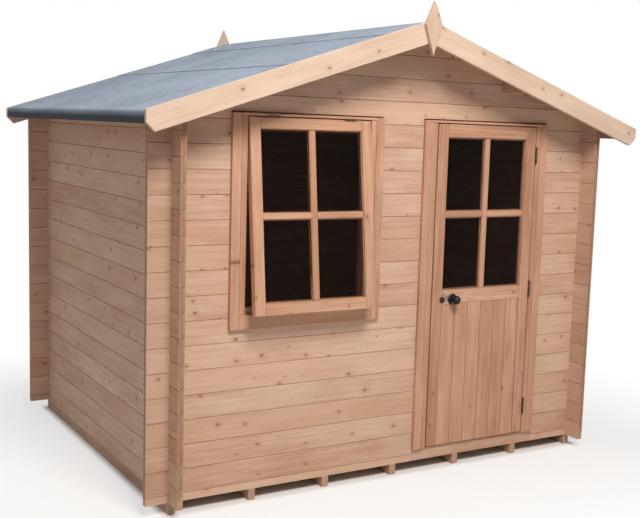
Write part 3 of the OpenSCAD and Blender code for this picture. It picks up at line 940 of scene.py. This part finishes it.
@dataclass
class RoofTimbers:
    """Ridge beam, purlins, matched roof boards and the eave fascias."""

    sawn: bpy.types.Material
    trim: bpy.types.Material
    roof: Roof
    boards_a_side: int = 25
    purlin_width: float = 0.044
    inset: float = 0.0003

    def beams(self) -> None:
        """Builds the ridge beam and purlins, their tops bevelled to the roof."""
        parts = (("ridge_beam", 41, [0.0]), ("purlins", 42, [-1.0, 1.0]))
        for node, seed, sides in parts:
            low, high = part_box(node)
            mesh = BoardMesh("sawn_" + node, seed)
            for side in sides:
                x0 = high.x - self.purlin_width if side > 0 else low.x
                x1 = low.x + self.purlin_width if side < 0 else high.x
                shape = bmesh.new()
                bmesh.ops.create_cube(shape, size=1.0)
                for vert in shape.verts:
                    x, y, z = vert.co
                    vert.co = Vector((x0 if x < 0 else x1,
                                      low.y + self.inset if y < 0 else high.y - self.inset,
                                      low.z if z < 0 else high.z))
                bmesh.ops.bevel(shape, geom=list(shape.edges), offset=0.002, segments=1,
                                affect="EDGES")
                for way in (1, -1):
                    trim_to(shape, *self.roof.cut_plane(way))
                mesh.add(shape, rows_of((0, 1, 0), (0, 0, 1), (1, 0, 0),
                                        (x0, low.y, low.z)))
            mesh.build(self.sawn, "cabin", node, slot="sawn_timber")

    def boards(self) -> None:
        """Builds the matched boards, which run from ridge to eave with a V under each joint."""
        roof = self.roof
        thick = roof.board_thick
        length = roof.edge / math.cos(roof.pitch)
        width = (roof.y1 - roof.y0) / self.boards_a_side
        outline = matched(width, thick, 0.004, 0.0004)
        for side, node, seed in ((1, "roof_boards_right", 43), (-1, "roof_boards_left", 44)):
            mesh = BoardMesh("matched_" + node, seed)
            c, s = math.cos(roof.pitch), math.sin(roof.pitch)
            for i in range(self.boards_a_side):
                y = roof.y0 + i * width
                rows = rows_of((side * c, 0, -s), (0, 1, 0), (side * s, 0, c),
                               (0, y, roof.under))
                shape = sweep(outline, steps(-0.01, length + 0.02, 0.3), rows)
                trim_to(shape, (0, 0, 0), (-side, 0, 0))
                trim_to(shape, (side * roof.edge, 0, 0), (side, 0, 0))
                # Only the underside has a V, so the depth is counted on from it; the top,
                # under the felt, takes the full painted shade of a joint
                mesh.add(shape, rows, 0.006, 2 * thick)
            mesh.build(self.sawn, "cabin", node, slot="sawn_timber")

    def fascias(self) -> None:
        """Builds the two eave fascias."""
        low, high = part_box("eave_fascias")
        mesh = BoardMesh("planed_eave_fascias", 45)
        for x0, x1 in ((low.x + 0.0045, low.x + 0.012), (high.x - 0.012, high.x - 0.0045)):
            mesh.bar((x0, low.y, low.z), (x1, high.y, high.z - 0.0075), Along.Y, 0.001)
        mesh.build(self.trim, "cabin", "eave_fascias", slot="trim_timber")

    def build(self) -> None:
        """Builds all the roof's timbers."""
        self.beams()
        self.boards()
        self.fascias()


@dataclass
class FeltCovering:
    """Two runs of felt along each slope, the lower turned over the eave, and a ridge capping.

    Places down the slope are distances from the ridge.
    """

    felt: bpy.types.Material
    zinc: bpy.types.Material
    roof: Roof
    thick: float = 0.0022
    lower_top: float = 0.70
    upper_foot: float = 0.775
    cap: float = 0.25
    # Heights over the roof boards: each layer lies on the one below it
    lower_lift: float = 0.0003
    upper_lift: float = 0.0027
    cap_lift: float = 0.0051
    nail_radius: float = 0.0045

    def line(self, side: int, start: float, end: float, lift: float,
             fold: bool) -> list[Vector]:
        """The cross-section of one run, from its upper edge down.

        Args:
            side: 1 for the right slope, -1 for the left.
            start: distance of the upper edge from the ridge, down the slope.
            end: distance of the lower edge.
            lift: height over the roof boards.
            fold: whether the run turns down over the eave.

        Returns:
            Points in X and Z.
        """
        roof = self.roof
        c, s = math.cos(roof.pitch), math.sin(roof.pitch)
        found = [Vector((side * (t * c + lift * s), 0, roof.board_top - t * s + lift * c))
                 for t in steps(start, end, 0.055)]
        if fold:
            outer = roof.eave - 0.0042
            corner = roof.board_top + 0.0005 - (outer - 0.006) * roof.slope
            found += [Vector((side * x, 0, z)) for x, z in (
                (outer - 0.006, corner), (outer - 0.0018, corner - 0.004),
                (outer, corner - 0.010), (outer, corner - 0.03),
                (outer - 0.0002, roof.eave_foot + 0.004), (outer - 0.0015, roof.eave_foot))]
        return found

    def run(self, name: str, line: Sequence[Vector], seed: int) -> bmesh.types.BMesh:
        """Extrudes a cross-section along the roof as a thin, slightly cockled sheet.

        Args:
            name: the run's name, for the log.
            line: its cross-section, upper edge first.
            seed: moves the cockling.

        Returns:
            The closed sheet.
        """
        shape = bmesh.new()
        ys = steps(self.roof.y0 + 0.0006, self.roof.y1 - 0.0006, 0.045)
        normals = []
        for i, point in enumerate(line):
            a, b = line[max(0, i - 1)], line[min(len(line) - 1, i + 1)]
            d = (b - a).normalized()
            n = Vector((-d.z, 0, d.x))
            if n.z < 0 or (abs(n.z) < 0.2 and n.x * point.x < 0):
                n = -n
            normals.append(n)
        grids = []
        for layer in (0, 1):
            grid = []
            for j, y in enumerate(ys):
                row = []
                for i, point in enumerate(line):
                    p = Vector((point.x, y, point.z))
                    wave = 0.0009 * noise.noise(Vector((p.x * 3.2, y * 5.5, seed)))
                    wave += 0.0004 * noise.noise(Vector((p.x * 16, y * 16, seed + 3.0)))
                    wave = max(-0.0004, wave)
                    row.append(shape.verts.new(p + normals[i] * (layer * self.thick + wave)))
                grid.append(row)
            grids.append(grid)
        low, top = grids
        for j in range(len(ys) - 1):
            for i in range(len(line) - 1):
                shape.faces.new((top[j][i], top[j][i + 1], top[j + 1][i + 1], top[j + 1][i]))
                shape.faces.new((low[j][i], low[j + 1][i], low[j + 1][i + 1], low[j][i + 1]))
            for i in (0, len(line) - 1):
                shape.faces.new((top[j][i], top[j + 1][i], low[j + 1][i], low[j][i]))
        for j in (0, len(ys) - 1):
            for i in range(len(line) - 1):
                shape.faces.new((top[j][i], low[j][i], low[j][i + 1], top[j][i + 1]))
        LOG.info("felt run %s: %d faces", name, len(shape.faces))
        return shape

    def sheet(self, mesh: BoardMesh, name: str, line: Sequence[Vector], seed: int) -> None:
        """Adds one run to a mesh, its turned-down part darkened with painted shade.

        Args:
            mesh: the mesh that gathers the runs.
            name: the run's name.
            line: its cross-section.
            seed: moves the cockling.
        """
        shape = self.run(name, line, seed)
        start = len(mesh.points)
        mesh.add(shape, Matrix.Identity(4))
        foot = self.roof.eave_foot
        for k in range(start, len(mesh.points)):
            p = mesh.points[k]
            if p.z < foot + 0.045 and abs(p.x) > self.roof.eave - 0.009:
                # Painted shade on the fold over the eave
                mesh.seam[k] = 0.95

    def nails(self) -> None:
        """Builds the flat clout heads along the laps and verges."""
        shape = bmesh.new()
        roof = self.roof
        c, s = math.cos(roof.pitch), math.sin(roof.pitch)
        spots = []
        for side in (1, -1):
            for t, lift in ((self.upper_foot - 0.02, 0.0066), (self.cap - 0.02, 0.0088)):
                spots += [(side, t, y, lift) for y in steps(roof.y0 + 0.03, roof.y1 - 0.03, 0.15)]
            for y in (roof.y0 + 0.018, roof.y1 - 0.018):
                spots += [(side, t, y, 0.0066) for t in steps(0.16, 0.70, 0.135)]
                spots += [(side, t, y, 0.0044) for t in steps(0.83, 1.43, 0.15)]
        for side, t, y, lift in spots:
            spin = Matrix.Rotation(side * roof.pitch, 4, "Y")
            at = Vector((side * (t * c + lift * s), y, roof.board_top - t * s + lift * c))
            made = bmesh.ops.create_cone(shape, cap_ends=True, segments=10,
                                         radius1=self.nail_radius, radius2=0.0034,
                                         depth=0.0012)
            bmesh.ops.transform(shape, matrix=Matrix.Translation(at) @ spin,
                                verts=made["verts"])
        place_shape("clout_nail_heads", shape, self.zinc, "cabin", slot="zinc_steel")

    def build(self) -> None:
        """Builds both slopes, the ridge capping and the nails."""
        for side, node in ((1, "roof_felt_right"), (-1, "roof_felt_left")):
            mesh = BoardMesh("lapped_" + node, 50 + side)
            end = (self.roof.eave - 0.016) / math.cos(self.roof.pitch)
            self.sheet(mesh, "lower", self.line(side, self.lower_top, end, self.lower_lift,
                                                True), 3 + side)
            self.sheet(mesh, "upper", self.line(side, 0.03, self.upper_foot, self.upper_lift,
                                                False), 7 + side)
            mesh.build(self.felt, "cabin", node, slot="roofing_felt")
        cap = BoardMesh("ridge_felt_capping", 53)
        left = self.line(-1, 0.012, self.cap, self.cap_lift, False)
        right = self.line(1, 0.012, self.cap, self.cap_lift, False)
        crown = Vector((0, 0, self.roof.board_top + 0.0036))
        self.sheet(cap, "capping", list(reversed(left)) + [crown] + right, 11)
        cap.build(self.felt, "cabin", slot="roofing_felt")
        self.nails()


@dataclass
class GableTrim:
    """Bargeboards and diamond finials, planed, with eased edges."""

    trim: bpy.types.Material
    roof: Roof
    board_width: float = 0.100
    board_thick: float = 0.022
    rear_drop: float = 0.0062
    finial_top: float = 0.112
    finial_thick: float = 0.020

    def board(self, mesh: BoardMesh, side: int, face: int) -> None:
        """Adds one bargeboard.

        Args:
            mesh: the mesh that gathers the boards of one side.
            side: 1 for the right slope, -1 for the left.
            face: -1 for the front gable, 1 for the rear.
        """
        low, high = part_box("bargeboards_right" if side > 0 else "bargeboards_left")
        front = low.y if face < 0 else high.y - self.board_thick
        peak = high.z - (self.rear_drop if face > 0 else 0.0)
        reach = max(abs(low.x), abs(high.x))
        drop = self.board_width / math.cos(self.roof.pitch)
        slope = self.roof.slope
        foot = reach - (drop / 2 - 0.013)
        tip = peak - reach * slope
        outline = [(0.0, peak - drop), (foot, peak - drop - foot * slope),
                   (reach, tip - drop / 2), (reach, tip), (0.0, peak)]
        shape = slab([(side * x, z) for x, z in outline], front, front + self.board_thick,
                     0.0018)
        c, s = math.cos(self.roof.pitch), math.sin(self.roof.pitch)
        mesh.add(shape, rows_of((side * c, 0, -s), (side * s, 0, c), (0, 1, 0),
                                (0, front, peak - self.board_width)))

    def finials(self) -> None:
        """Builds the two diamonds."""
        low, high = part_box("finials")
        mesh = BoardMesh("planed_finials", 62)
        half = (high.x - low.x) / 2
        widest = high.z - self.finial_top
        outline = [(0.0, low.z), (half, widest), (0.0, high.z), (-half, widest)]
        for front in (low.y, high.y - self.finial_thick):
            shape = slab(outline, front, front + self.finial_thick, 0.0015)
            mesh.add(shape, rows_of((0, 0, 1), (1, 0, 0), (0, 1, 0), (-half, front, low.z)))
        mesh.build(self.trim, "cabin", "finials", slot="trim_timber")

    def build(self) -> None:
        """Builds the bargeboards and the finials."""
        for side, node, seed in ((1, "bargeboards_right", 60), (-1, "bargeboards_left", 61)):
            mesh = BoardMesh("planed_" + node, seed)
            for face in (-1, 1):
                self.board(mesh, side, face)
            mesh.build(self.trim, "cabin", node, slot="trim_timber")
        self.finials()


@dataclass
class Joinery:
    """Frames, sash and door: planed members with eased edges, glazing bars and beads."""

    wood: bpy.types.Material
    glass: bpy.types.Material
    fittings: bpy.types.Material
    tilt: float = math.radians(6.5)
    bar: float = 0.028
    bead: float = 0.009
    jamb: float = 0.077
    lining: float = 0.030
    stop: float = 0.020
    stop_deep: float = 0.026
    frame_head: float = 0.012
    frame_sill: float = 0.068
    sash_thick: float = 0.038
    gap: float = 0.0004
    eased: float = 0.0028

    def jambs(self, mesh: BoardMesh, box: tuple[Vector, Vector], foot: float, top: float,
              stopped: bool = False) -> None:
        """Adds a pair of jambs, each a casing over the logs and a lining at the opening.

        Args:
            mesh: the mesh that gathers them.
            box: the lowest and highest corners of the pair.
            foot: height of the linings' feet.
            top: height of the linings' tops.
            stopped: whether each lining also carries a stop.
        """
        low, high = box
        w, lining, back = self.jamb, self.lining, high.y
        for x0, inner in ((low.x, 1), (high.x - w, -1)):
            x1 = x0 + w
            casing = (x0, x1 - lining) if inner > 0 else (x0 + lining, x1)
            liner = (x1 - lining, x1) if inner > 0 else (x0, x0 + lining)
            mesh.bar((casing[0], low.y, low.z), (casing[1] - self.gap, back, high.z), Along.Z,
                     0.003)
            mesh.bar((liner[0] + self.gap, low.y + 0.003, foot), (liner[1], back, top),
                     Along.Z, 0.0025)
            if stopped:
                stop = liner[1] if inner > 0 else liner[0] - self.stop
                mesh.bar((stop, back - self.stop_deep, foot), (stop + self.stop, back, top),
                         Along.Z, 0.002)

    def frame(self) -> None:
        """Builds the window frame: cased jambs with stops, head and sill."""
        low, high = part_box("window_frame")
        mesh = BoardMesh("joined_window_frame", 71)
        inset, back = self.jamb - self.lining, high.y
        foot, top = low.z + self.frame_sill, high.z - self.frame_head
        self.jambs(mesh, (low, high), foot, top, True)
        mesh.bar((low.x + inset, low.y, top), (high.x - inset, back, high.z), Along.X, 0.002)
        mesh.bar((low.x + inset, low.y, low.z), (high.x - inset, back, foot), Along.X, 0.003)
        stop = back - self.stop_deep
        mesh.bar((low.x + self.jamb, stop, top - self.stop), (high.x - self.jamb, back, top),
                 Along.X, 0.002)
        mesh.bar((low.x + self.jamb, stop, foot), (high.x - self.jamb, back, foot + 0.027),
                 Along.X, 0.002)
        mesh.build(self.wood, "cabin", "window_frame", slot="joinery_timber")

    def glazed(self, mesh: BoardMesh, cell: tuple[float, float, float, float], face: float,
               glass_y: float, turn: Matrix | None = None) -> None:
        """Adds the beads around one pane, outside and in.

        Args:
            mesh: the mesh that gathers the beads.
            cell: the pane's low x, high x, low z and high z.
            face: the bars' outer face.
            glass_y: the pane's outer face.
            turn: placing of the sash, if any.
        """
        x0, x1, z0, z1 = cell
        for y0, y1, b in ((face + 0.004, glass_y, 0.003),
                          (glass_y + 0.004, glass_y + 0.012, self.bead)):
            for low, high, along in (
                    ((x0, y0, z0), (x0 + b, y1, z1), Along.Z),
                    ((x1 - b, y0, z0), (x1, y1, z1), Along.Z),
                    ((x0 + b, y0, z0), (x1 - b, y1, z0 + b), Along.X),
                    ((x0 + b, y0, z1 - b), (x1 - b, y1, z1), Along.X)):
                mesh.bar(low, high, along, 0.001, turn)

    def sash(self) -> None:
        """Builds the propped sash in its hung position."""
        stiles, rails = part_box("sash_stiles"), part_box("sash_rails")
        thick = self.sash_thick
        height = (stiles[1].z - stiles[0].z - thick * math.sin(self.tilt)) / math.cos(self.tilt)
        hinge_y = stiles[0].y + height * math.sin(self.tilt)
        turn = (Matrix.Translation((0, hinge_y, stiles[1].z))
                @ Matrix.Rotation(-self.tilt, 4, "X"))
        x0, x1, px0, px1 = stiles[0].x, stiles[1].x, rails[0].x, rails[1].x
        pz0, pz1 = -height + 0.055, -0.052
        mesh = BoardMesh("sash_stiles_planed", 72)
        for a, b in ((x0, px0 - self.gap), (px1 + self.gap, x1)):
            mesh.bar((a, 0, -height), (b, thick, 0), Along.Z, self.eased, turn)
        mesh.build(self.wood, "cabin", "sash_stiles", slot="joinery_timber")
        mesh = BoardMesh("sash_rails_planed", 73)
        for z0, z1 in ((-height, pz0), (pz1, 0)):
            mesh.bar((px0, self.gap, z0), (px1, thick, z1), Along.X, self.eased, turn)
        mesh.build(self.wood, "cabin", "sash_rails", slot="joinery_timber")
        self.cross(BoardMesh("sash_glazing_bars", 74), (px0, px1, pz0, pz1), 0.005, 0.015,
                   turn, "cabin", "sash_upright_bar", "sash_level_bars")

    def cross(self, mesh: BoardMesh, light: tuple[float, float, float, float], face: float,
              glass_y: float, turn: Matrix | None, body: str, *replaced: str) -> None:
        """Builds a cross of glazing bars with the beads of its four panes.

        Args:
            mesh: the mesh that gathers them.
            light: low x, high x, low z and high z of the glazed part.
            face: outer face of the bars.
            glass_y: outer face of the glass.
            turn: placing of the sash, if any.
            body: the body that they ride on.
            replaced: the CAD nodes that they stand for.
        """
        x0, x1, z0, z1 = light
        xm, zm, h = (x0 + x1) / 2, (z0 + z1) / 2, self.bar / 2
        deep = face + 0.026
        mesh.bar((xm - h, face, z0), (xm + h, deep, z1), Along.Z, 0.0045, turn)
        for a, b in ((x0, xm - h), (xm + h, x1)):
            mesh.bar((a, face, zm - h), (b, deep, zm + h), Along.X, 0.0045, turn)
        for a, b in ((x0, xm - h), (xm + h, x1)):
            for c, d in ((z0, zm - h), (zm + h, z1)):
                self.glazed(mesh, (a, b, c, d), face, glass_y, turn)
        mesh.build(self.wood, body, *replaced, slot="joinery_timber")

    def door_frame(self) -> None:
        """Builds the door's jambs, head and stops."""
        low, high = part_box("door_jambs")
        mesh = BoardMesh("door_jambs_planed", 75)
        self.jambs(mesh, (low, high), low.z, high.z)
        mesh.build(self.wood, "cabin", "door_jambs", slot="joinery_timber")
        single("door_head_planed", "door_head", 76, self.wood, "joinery_timber")
        low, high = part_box("door_stops")
        mesh = BoardMesh("door_stops_planed", 77)
        for x0 in (low.x, high.x - self.stop):
            mesh.bar((x0, low.y, low.z), (x0 + self.stop, high.y, high.z), Along.Z, 0.002)
        inset = self.stop + 0.001
        mesh.bar((low.x + inset, low.y, high.z - self.stop),
                 (high.x - inset, high.y, high.z), Along.X, 0.002)
        mesh.build(self.wood, "cabin", "door_stops", slot="joinery_timber")

    def door(self) -> None:
        """Builds the leaf, its boarded panel and its glazing bars."""
        (low, high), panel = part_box("door_leaf"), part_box("door_panel")
        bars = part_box("door_glazing_bars")
        x0, x1 = panel[0].x, panel[1].x
        mesh = BoardMesh("door_stiles_and_rails", 78)
        for a, b in ((low.x, x0 - self.gap), (x1 + self.gap, high.x)):
            mesh.bar((a, low.y, low.z), (b, high.y, high.z), Along.Z, self.eased)
        for z0, z1 in ((panel[1].z, bars[0].z), (bars[1].z, high.z)):
            mesh.bar((x0, low.y + self.gap, z0), (x1, high.y, z1), Along.X, self.eased)
        mesh.bar((x0, low.y + 0.015, low.z), (x1, high.y, low.z + 0.095), Along.X, self.eased)
        mesh.build(self.wood, "door", "door_leaf", slot="joinery_timber")
        mesh = BoardMesh("door_matchboards", 79)
        count, thick = 6, 0.012
        width = (x1 - x0) / count
        outline = matched(width, thick, 0.0035, 0.0003)
        for i in range(count):
            rows = rows_of((0, 0, 1), (1, 0, 0), (0, 1, 0), (x0 + i * width, panel[0].y, 0))
            shape = sweep(outline, steps(panel[0].z, panel[1].z, 0.2), rows, 0.0003, i * 3.3)
            # Only the outer face has a V, so the depth is counted on from it; the inner
            # face takes the full painted shade of a joint
            mesh.add(shape, rows, 0.0045, 2 * thick)
        mesh.build(self.wood, "door", "door_panel", slot="joinery_timber")
        self.cross(BoardMesh("door_bars_and_beads", 80), (x0, x1, bars[0].z, bars[1].z),
                   bars[0].y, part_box("door_glass")[0].y, None, "door", "door_glazing_bars")

    def build(self) -> None:
        """Builds the window, the door and its frame, and glazes them."""
        self.frame()
        self.sash()
        self.door_frame()
        self.door()
        for node in ("window_glass", "door_glass"):
            dress(node, self.glass)
        for node in ("window_stay", "window_hinges"):
            dress(node, self.fittings)


def dress(node: str, finish: bpy.types.Material) -> None:
    """Gives a carried-over CAD node its finish.

    Args:
        node: the CAD node's name.
        finish: its material.
    """
    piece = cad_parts[node]
    if not piece.material_slots:
        piece.data.materials.append(finish)
    for holder in piece.material_slots:
        holder.material = finish
    LOG.info("%s: dressed", node)


@dataclass
class Ironmongery:
    """Turned knobs and roses, keyhole escutcheon, lock plate, hinges and screw heads."""

    iron: bpy.types.Material
    brass: bpy.types.Material
    zinc: bpy.types.Material
    dull: bpy.types.Material

    def turned(self, name: str, profile: Sequence[Point2], at: Point3, way: int,
               shape: bmesh.types.BMesh) -> None:
        """Turns a profile about the knob's axis.

        Args:
            name: the turned part's name, for the log.
            profile: distance out from the door and radius, in metres.
            at: the point of the axis on the door's face.
            way: -1 for the outer face, 1 for the inner.
            shape: the mesh that it is added to.
        """
        count = 40
        turns = [2 * math.pi * i / count for i in range(count)]
        skin(shape, [[shape.verts.new((at[0] + radius * math.cos(a), at[1] + way * out,
                                       at[2] + radius * math.sin(a))) for a in turns]
                     for out, radius in profile])
        LOG.info("turned %s", name)

    def knob(self) -> None:
        """Builds the ball knobs on their necks, and the two roses."""
        low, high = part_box("door_knob")
        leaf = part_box("door_leaf")
        x, z = (low.x + high.x) / 2, (low.z + high.z) / 2
        ball = (high.z - low.z) / 2
        reach = leaf[0].y - low.y
        centre = reach - ball
        profile = [(-0.004, 0.0079), (0.0068, 0.0079), (0.0068, 0.0125), (0.009, 0.0128),
                   (0.011, 0.0098), (centre - ball * 0.9, 0.0092)]
        profile += [(centre - ball * math.cos(a), max(0.0006, ball * math.sin(a)))
                    for a in [math.radians(v) for v in range(28, 181, 8)]]
        shape = bmesh.new()
        self.turned("outer knob", profile, (x, leaf[0].y, z), -1, shape)
        self.turned("inner knob", profile, (x, leaf[1].y, z), 1, shape)
        bmesh.ops.recalc_face_normals(shape, faces=shape.faces)
        self.place_smooth("turned_door_knob", shape, self.iron, "knob", "door_knob",
                          "black_iron")
        rose = [(0.0, 0.029), (0.0018, 0.029), (0.0035, 0.0272), (0.0044, 0.0225),
                (0.0058, 0.0160), (0.0060, 0.0130), (0.0060, 0.0082)]
        shape = bmesh.new()
        for y, way in ((leaf[0].y, -1), (leaf[1].y, 1)):
            self.turned("rose", rose, (x, y, z), way, shape)
        bmesh.ops.recalc_face_normals(shape, faces=shape.faces)
        self.place_smooth("turned_roses", shape, self.iron, "door", "knob_roses", "black_iron")

    def place_smooth(self, name: str, shape: bmesh.types.BMesh, finish: bpy.types.Material,
                     body: str, node: str, slot: str) -> None:
        """Places a turned mesh with soft shading.

        Args:
            name: the piece's name.
            shape: its mesh, freed here.
            finish: its material.
            body: the body that it rides on.
            node: the CAD node that it stands for.
            slot: the record's material slot.
        """
        for face in shape.faces:
            face.smooth = len(face.verts) == 4
        place_shape(name, shape, finish, body, node, slot=slot)

    def screws(self) -> None:
        """Builds the domed screw heads of the outer rose and the lock plate."""
        low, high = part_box("knob_roses")
        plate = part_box("lock_edge_plate")
        x, z = (low.x + high.x) / 2, (low.z + high.z) / 2
        ring, inset, radius = 0.0215, 0.008, 0.0026
        spots = [(x + ring * math.cos(a), low.y + 0.0008, z + ring * math.sin(a))
                 for a in (0.6, 2.7, 4.75)]
        px = (plate[0].x + plate[1].x) / 2
        spots += [(px, plate[0].y, plate[0].z + inset), (px, plate[0].y, plate[1].z - inset)]
        shape = bmesh.new()
        for spot in spots:
            made = bmesh.ops.create_uvsphere(shape, u_segments=12, v_segments=8, radius=radius)
            squash = Matrix.Diagonal((1, 0.4, 1, 1))
            bmesh.ops.transform(shape, matrix=Matrix.Translation(spot) @ squash,
                                verts=made["verts"])
        place_shape("fitting_screws", shape, self.zinc, "door", slot="zinc_steel")

    def build(self) -> None:
        """Builds the knob and dresses the fittings."""
        self.knob()
        self.screws()
        dress("keyhole_plate", self.brass)
        dress("lock_edge_plate", self.zinc)
        for node in ("door_hinge_plates", "door_hinge_flaps"):
            dress(node, self.dull)


@dataclass
class Studio:
    """Pale floor, soft lights, white surround and the camera."""

    eye: Point3 = (-2.9125, -5.3183, 1.7915)
    yaw: float = 32.89
    pitch: float = -7.29
    roll: float = 2.08
    sensor_mm: float = 36.0
    lens_mm: float = 58.30875
    shift_x: float = -0.09375
    floor_half: float = 40.0

    def camera(self) -> None:
        """Sets up the camera from its place, its turn and its focal length."""
        yaw, pitch, roll = (math.radians(v) for v in (self.yaw, self.pitch, self.roll))
        ahead = Vector((math.sin(yaw) * math.cos(pitch), math.cos(yaw) * math.cos(pitch),
                        math.sin(pitch)))
        level = Vector((math.cos(yaw), -math.sin(yaw), 0.0))
        up = level.cross(ahead)
        right = level * math.cos(roll) + up * math.sin(roll)
        top = -level * math.sin(roll) + up * math.cos(roll)
        data = bpy.data.cameras.new("camera")
        data.sensor_width = self.sensor_mm
        data.lens = self.lens_mm
        data.shift_x = self.shift_x
        data.clip_end = 200.0
        eye = bpy.data.objects.new("camera", data)
        eye.matrix_world = rows_of(right, top, -ahead, self.eye)
        bpy.context.scene.collection.objects.link(eye)
        bpy.context.scene.camera = eye

    def lamp(self, name: str, at: Point3, size: float, power: float, colour: str) -> None:
        """Adds one area light aimed at the cabin's middle.

        Args:
            name: the lamp's name.
            at: its place.
            size: its side in metres.
            power: its power in watts.
            colour: its sRGB colour.
        """
        data = bpy.data.lights.new(name, "AREA")
        data.size = size
        data.energy = power
        data.color = linear(colour)[:3]
        lamp = bpy.data.objects.new(name, data)
        lamp.location = at
        aim = Vector((0, 0, 1.0)) - Vector(at)
        lamp.rotation_euler = aim.to_track_quat("-Z", "Y").to_euler()
        bpy.context.scene.collection.objects.link(lamp)

    def surround(self) -> None:
        """Makes the world: plain light on the cabin, white to the eye and in reflections."""
        g = Graph(bpy.data.worlds.new("surround"), "OutputWorld")
        light = g.add("Background", {"Color": linear("fffaf6"), "Strength": 0.22})
        white = g.add("Background", {"Color": linear("ffffff"), "Strength": 1.0})
        bpy.context.scene.world = g.finish(g.add("MixShader", {0: g.seen(), 1: light,
                                                               2: white}))

    def floor(self) -> None:
        """Lays the pale floor, white towards its far edges, and keeps the cabin's shadow."""
        g = Graph.material("pale_studio_floor")
        where = g.add("TexCoord").outputs["Object"]
        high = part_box("floor_joists")[1]
        side = g.add("VectorMath", {0: where}, operation="ABSOLUTE")
        over = g.add("VectorMath", {0: side, 1: (high.x, high.y, 0.0)}, operation="SUBTRACT")
        over = g.add("VectorMath", {0: over, 1: (0.0, 0.0, 0.0)}, operation="MAXIMUM")
        far = g.add("VectorMath", {0: over}, operation="LENGTH").outputs["Value"]
        near, beyond = [g.add("MapRange", {0: far, 1: start, 2: full, 3: 0.0, 4: share},
                              interpolation_type="SMOOTHSTEP")
                        for start, full, share in ((0.0, 0.05, 0.6), (0.06, 1.7, 0.4))]
        fade = g.add("Math", {0: near, 1: beyond}, operation="ADD")
        share = g.add("Math", {0: g.seen(), 1: fade}, operation="MULTIPLY")
        matt = g.add("BsdfDiffuse", {"Color": linear("ececea")})
        white = g.add("Emission", {"Strength": 1.0})
        mixed = g.add("MixShader", {0: share, 1: matt, 2: white})
        mesh = bpy.data.meshes.new("studio_floor")
        r = self.floor_half
        mesh.from_pydata([(-r, -r, 0), (r, -r, 0), (r, r, 0), (-r, r, 0)], [], [(0, 1, 2, 3)])
        mesh.materials.append(g.finish(mixed))
        floor = bpy.data.objects.new("studio_floor", mesh)
        floor.location.z = -0.0005
        bpy.context.scene.collection.objects.link(floor)

    def build(self) -> None:
        """Builds the studio."""
        self.camera()
        self.surround()
        self.floor()
        self.lamp("key", (-1.1, -5.0, 5.8), 2.0, 410.0, "fff9f4")
        self.lamp("fill", (-5.5, -1.5, 3.5), 4.0, 22.0, "e8ecff")
        self.lamp("top", (-1.0, 1.5, 6.5), 4.0, 120.0, "ffffff")
        bpy.context.scene.view_settings.view_transform = "Standard"


def main() -> None:
    """Builds the cabin's looks in order."""
    logging.basicConfig(level=logging.INFO, format="%(message)s")
    Studio().build()
    finishes = Finishes.make()
    roof = Roof()
    LogWalls(finishes.logs, roof).build()
    Floor(finishes.sawn).build()
    RoofTimbers(finishes.sawn, finishes.trim, roof).build()
    FeltCovering(finishes.felt, finishes.zinc, roof).build()
    GableTrim(finishes.trim, roof).build()
    Joinery(finishes.joinery, finishes.glass, finishes.dull).build()
    Ironmongery(finishes.iron, finishes.brass, finishes.zinc, finishes.dull).build()


if __name__ == "__main__":
    main()
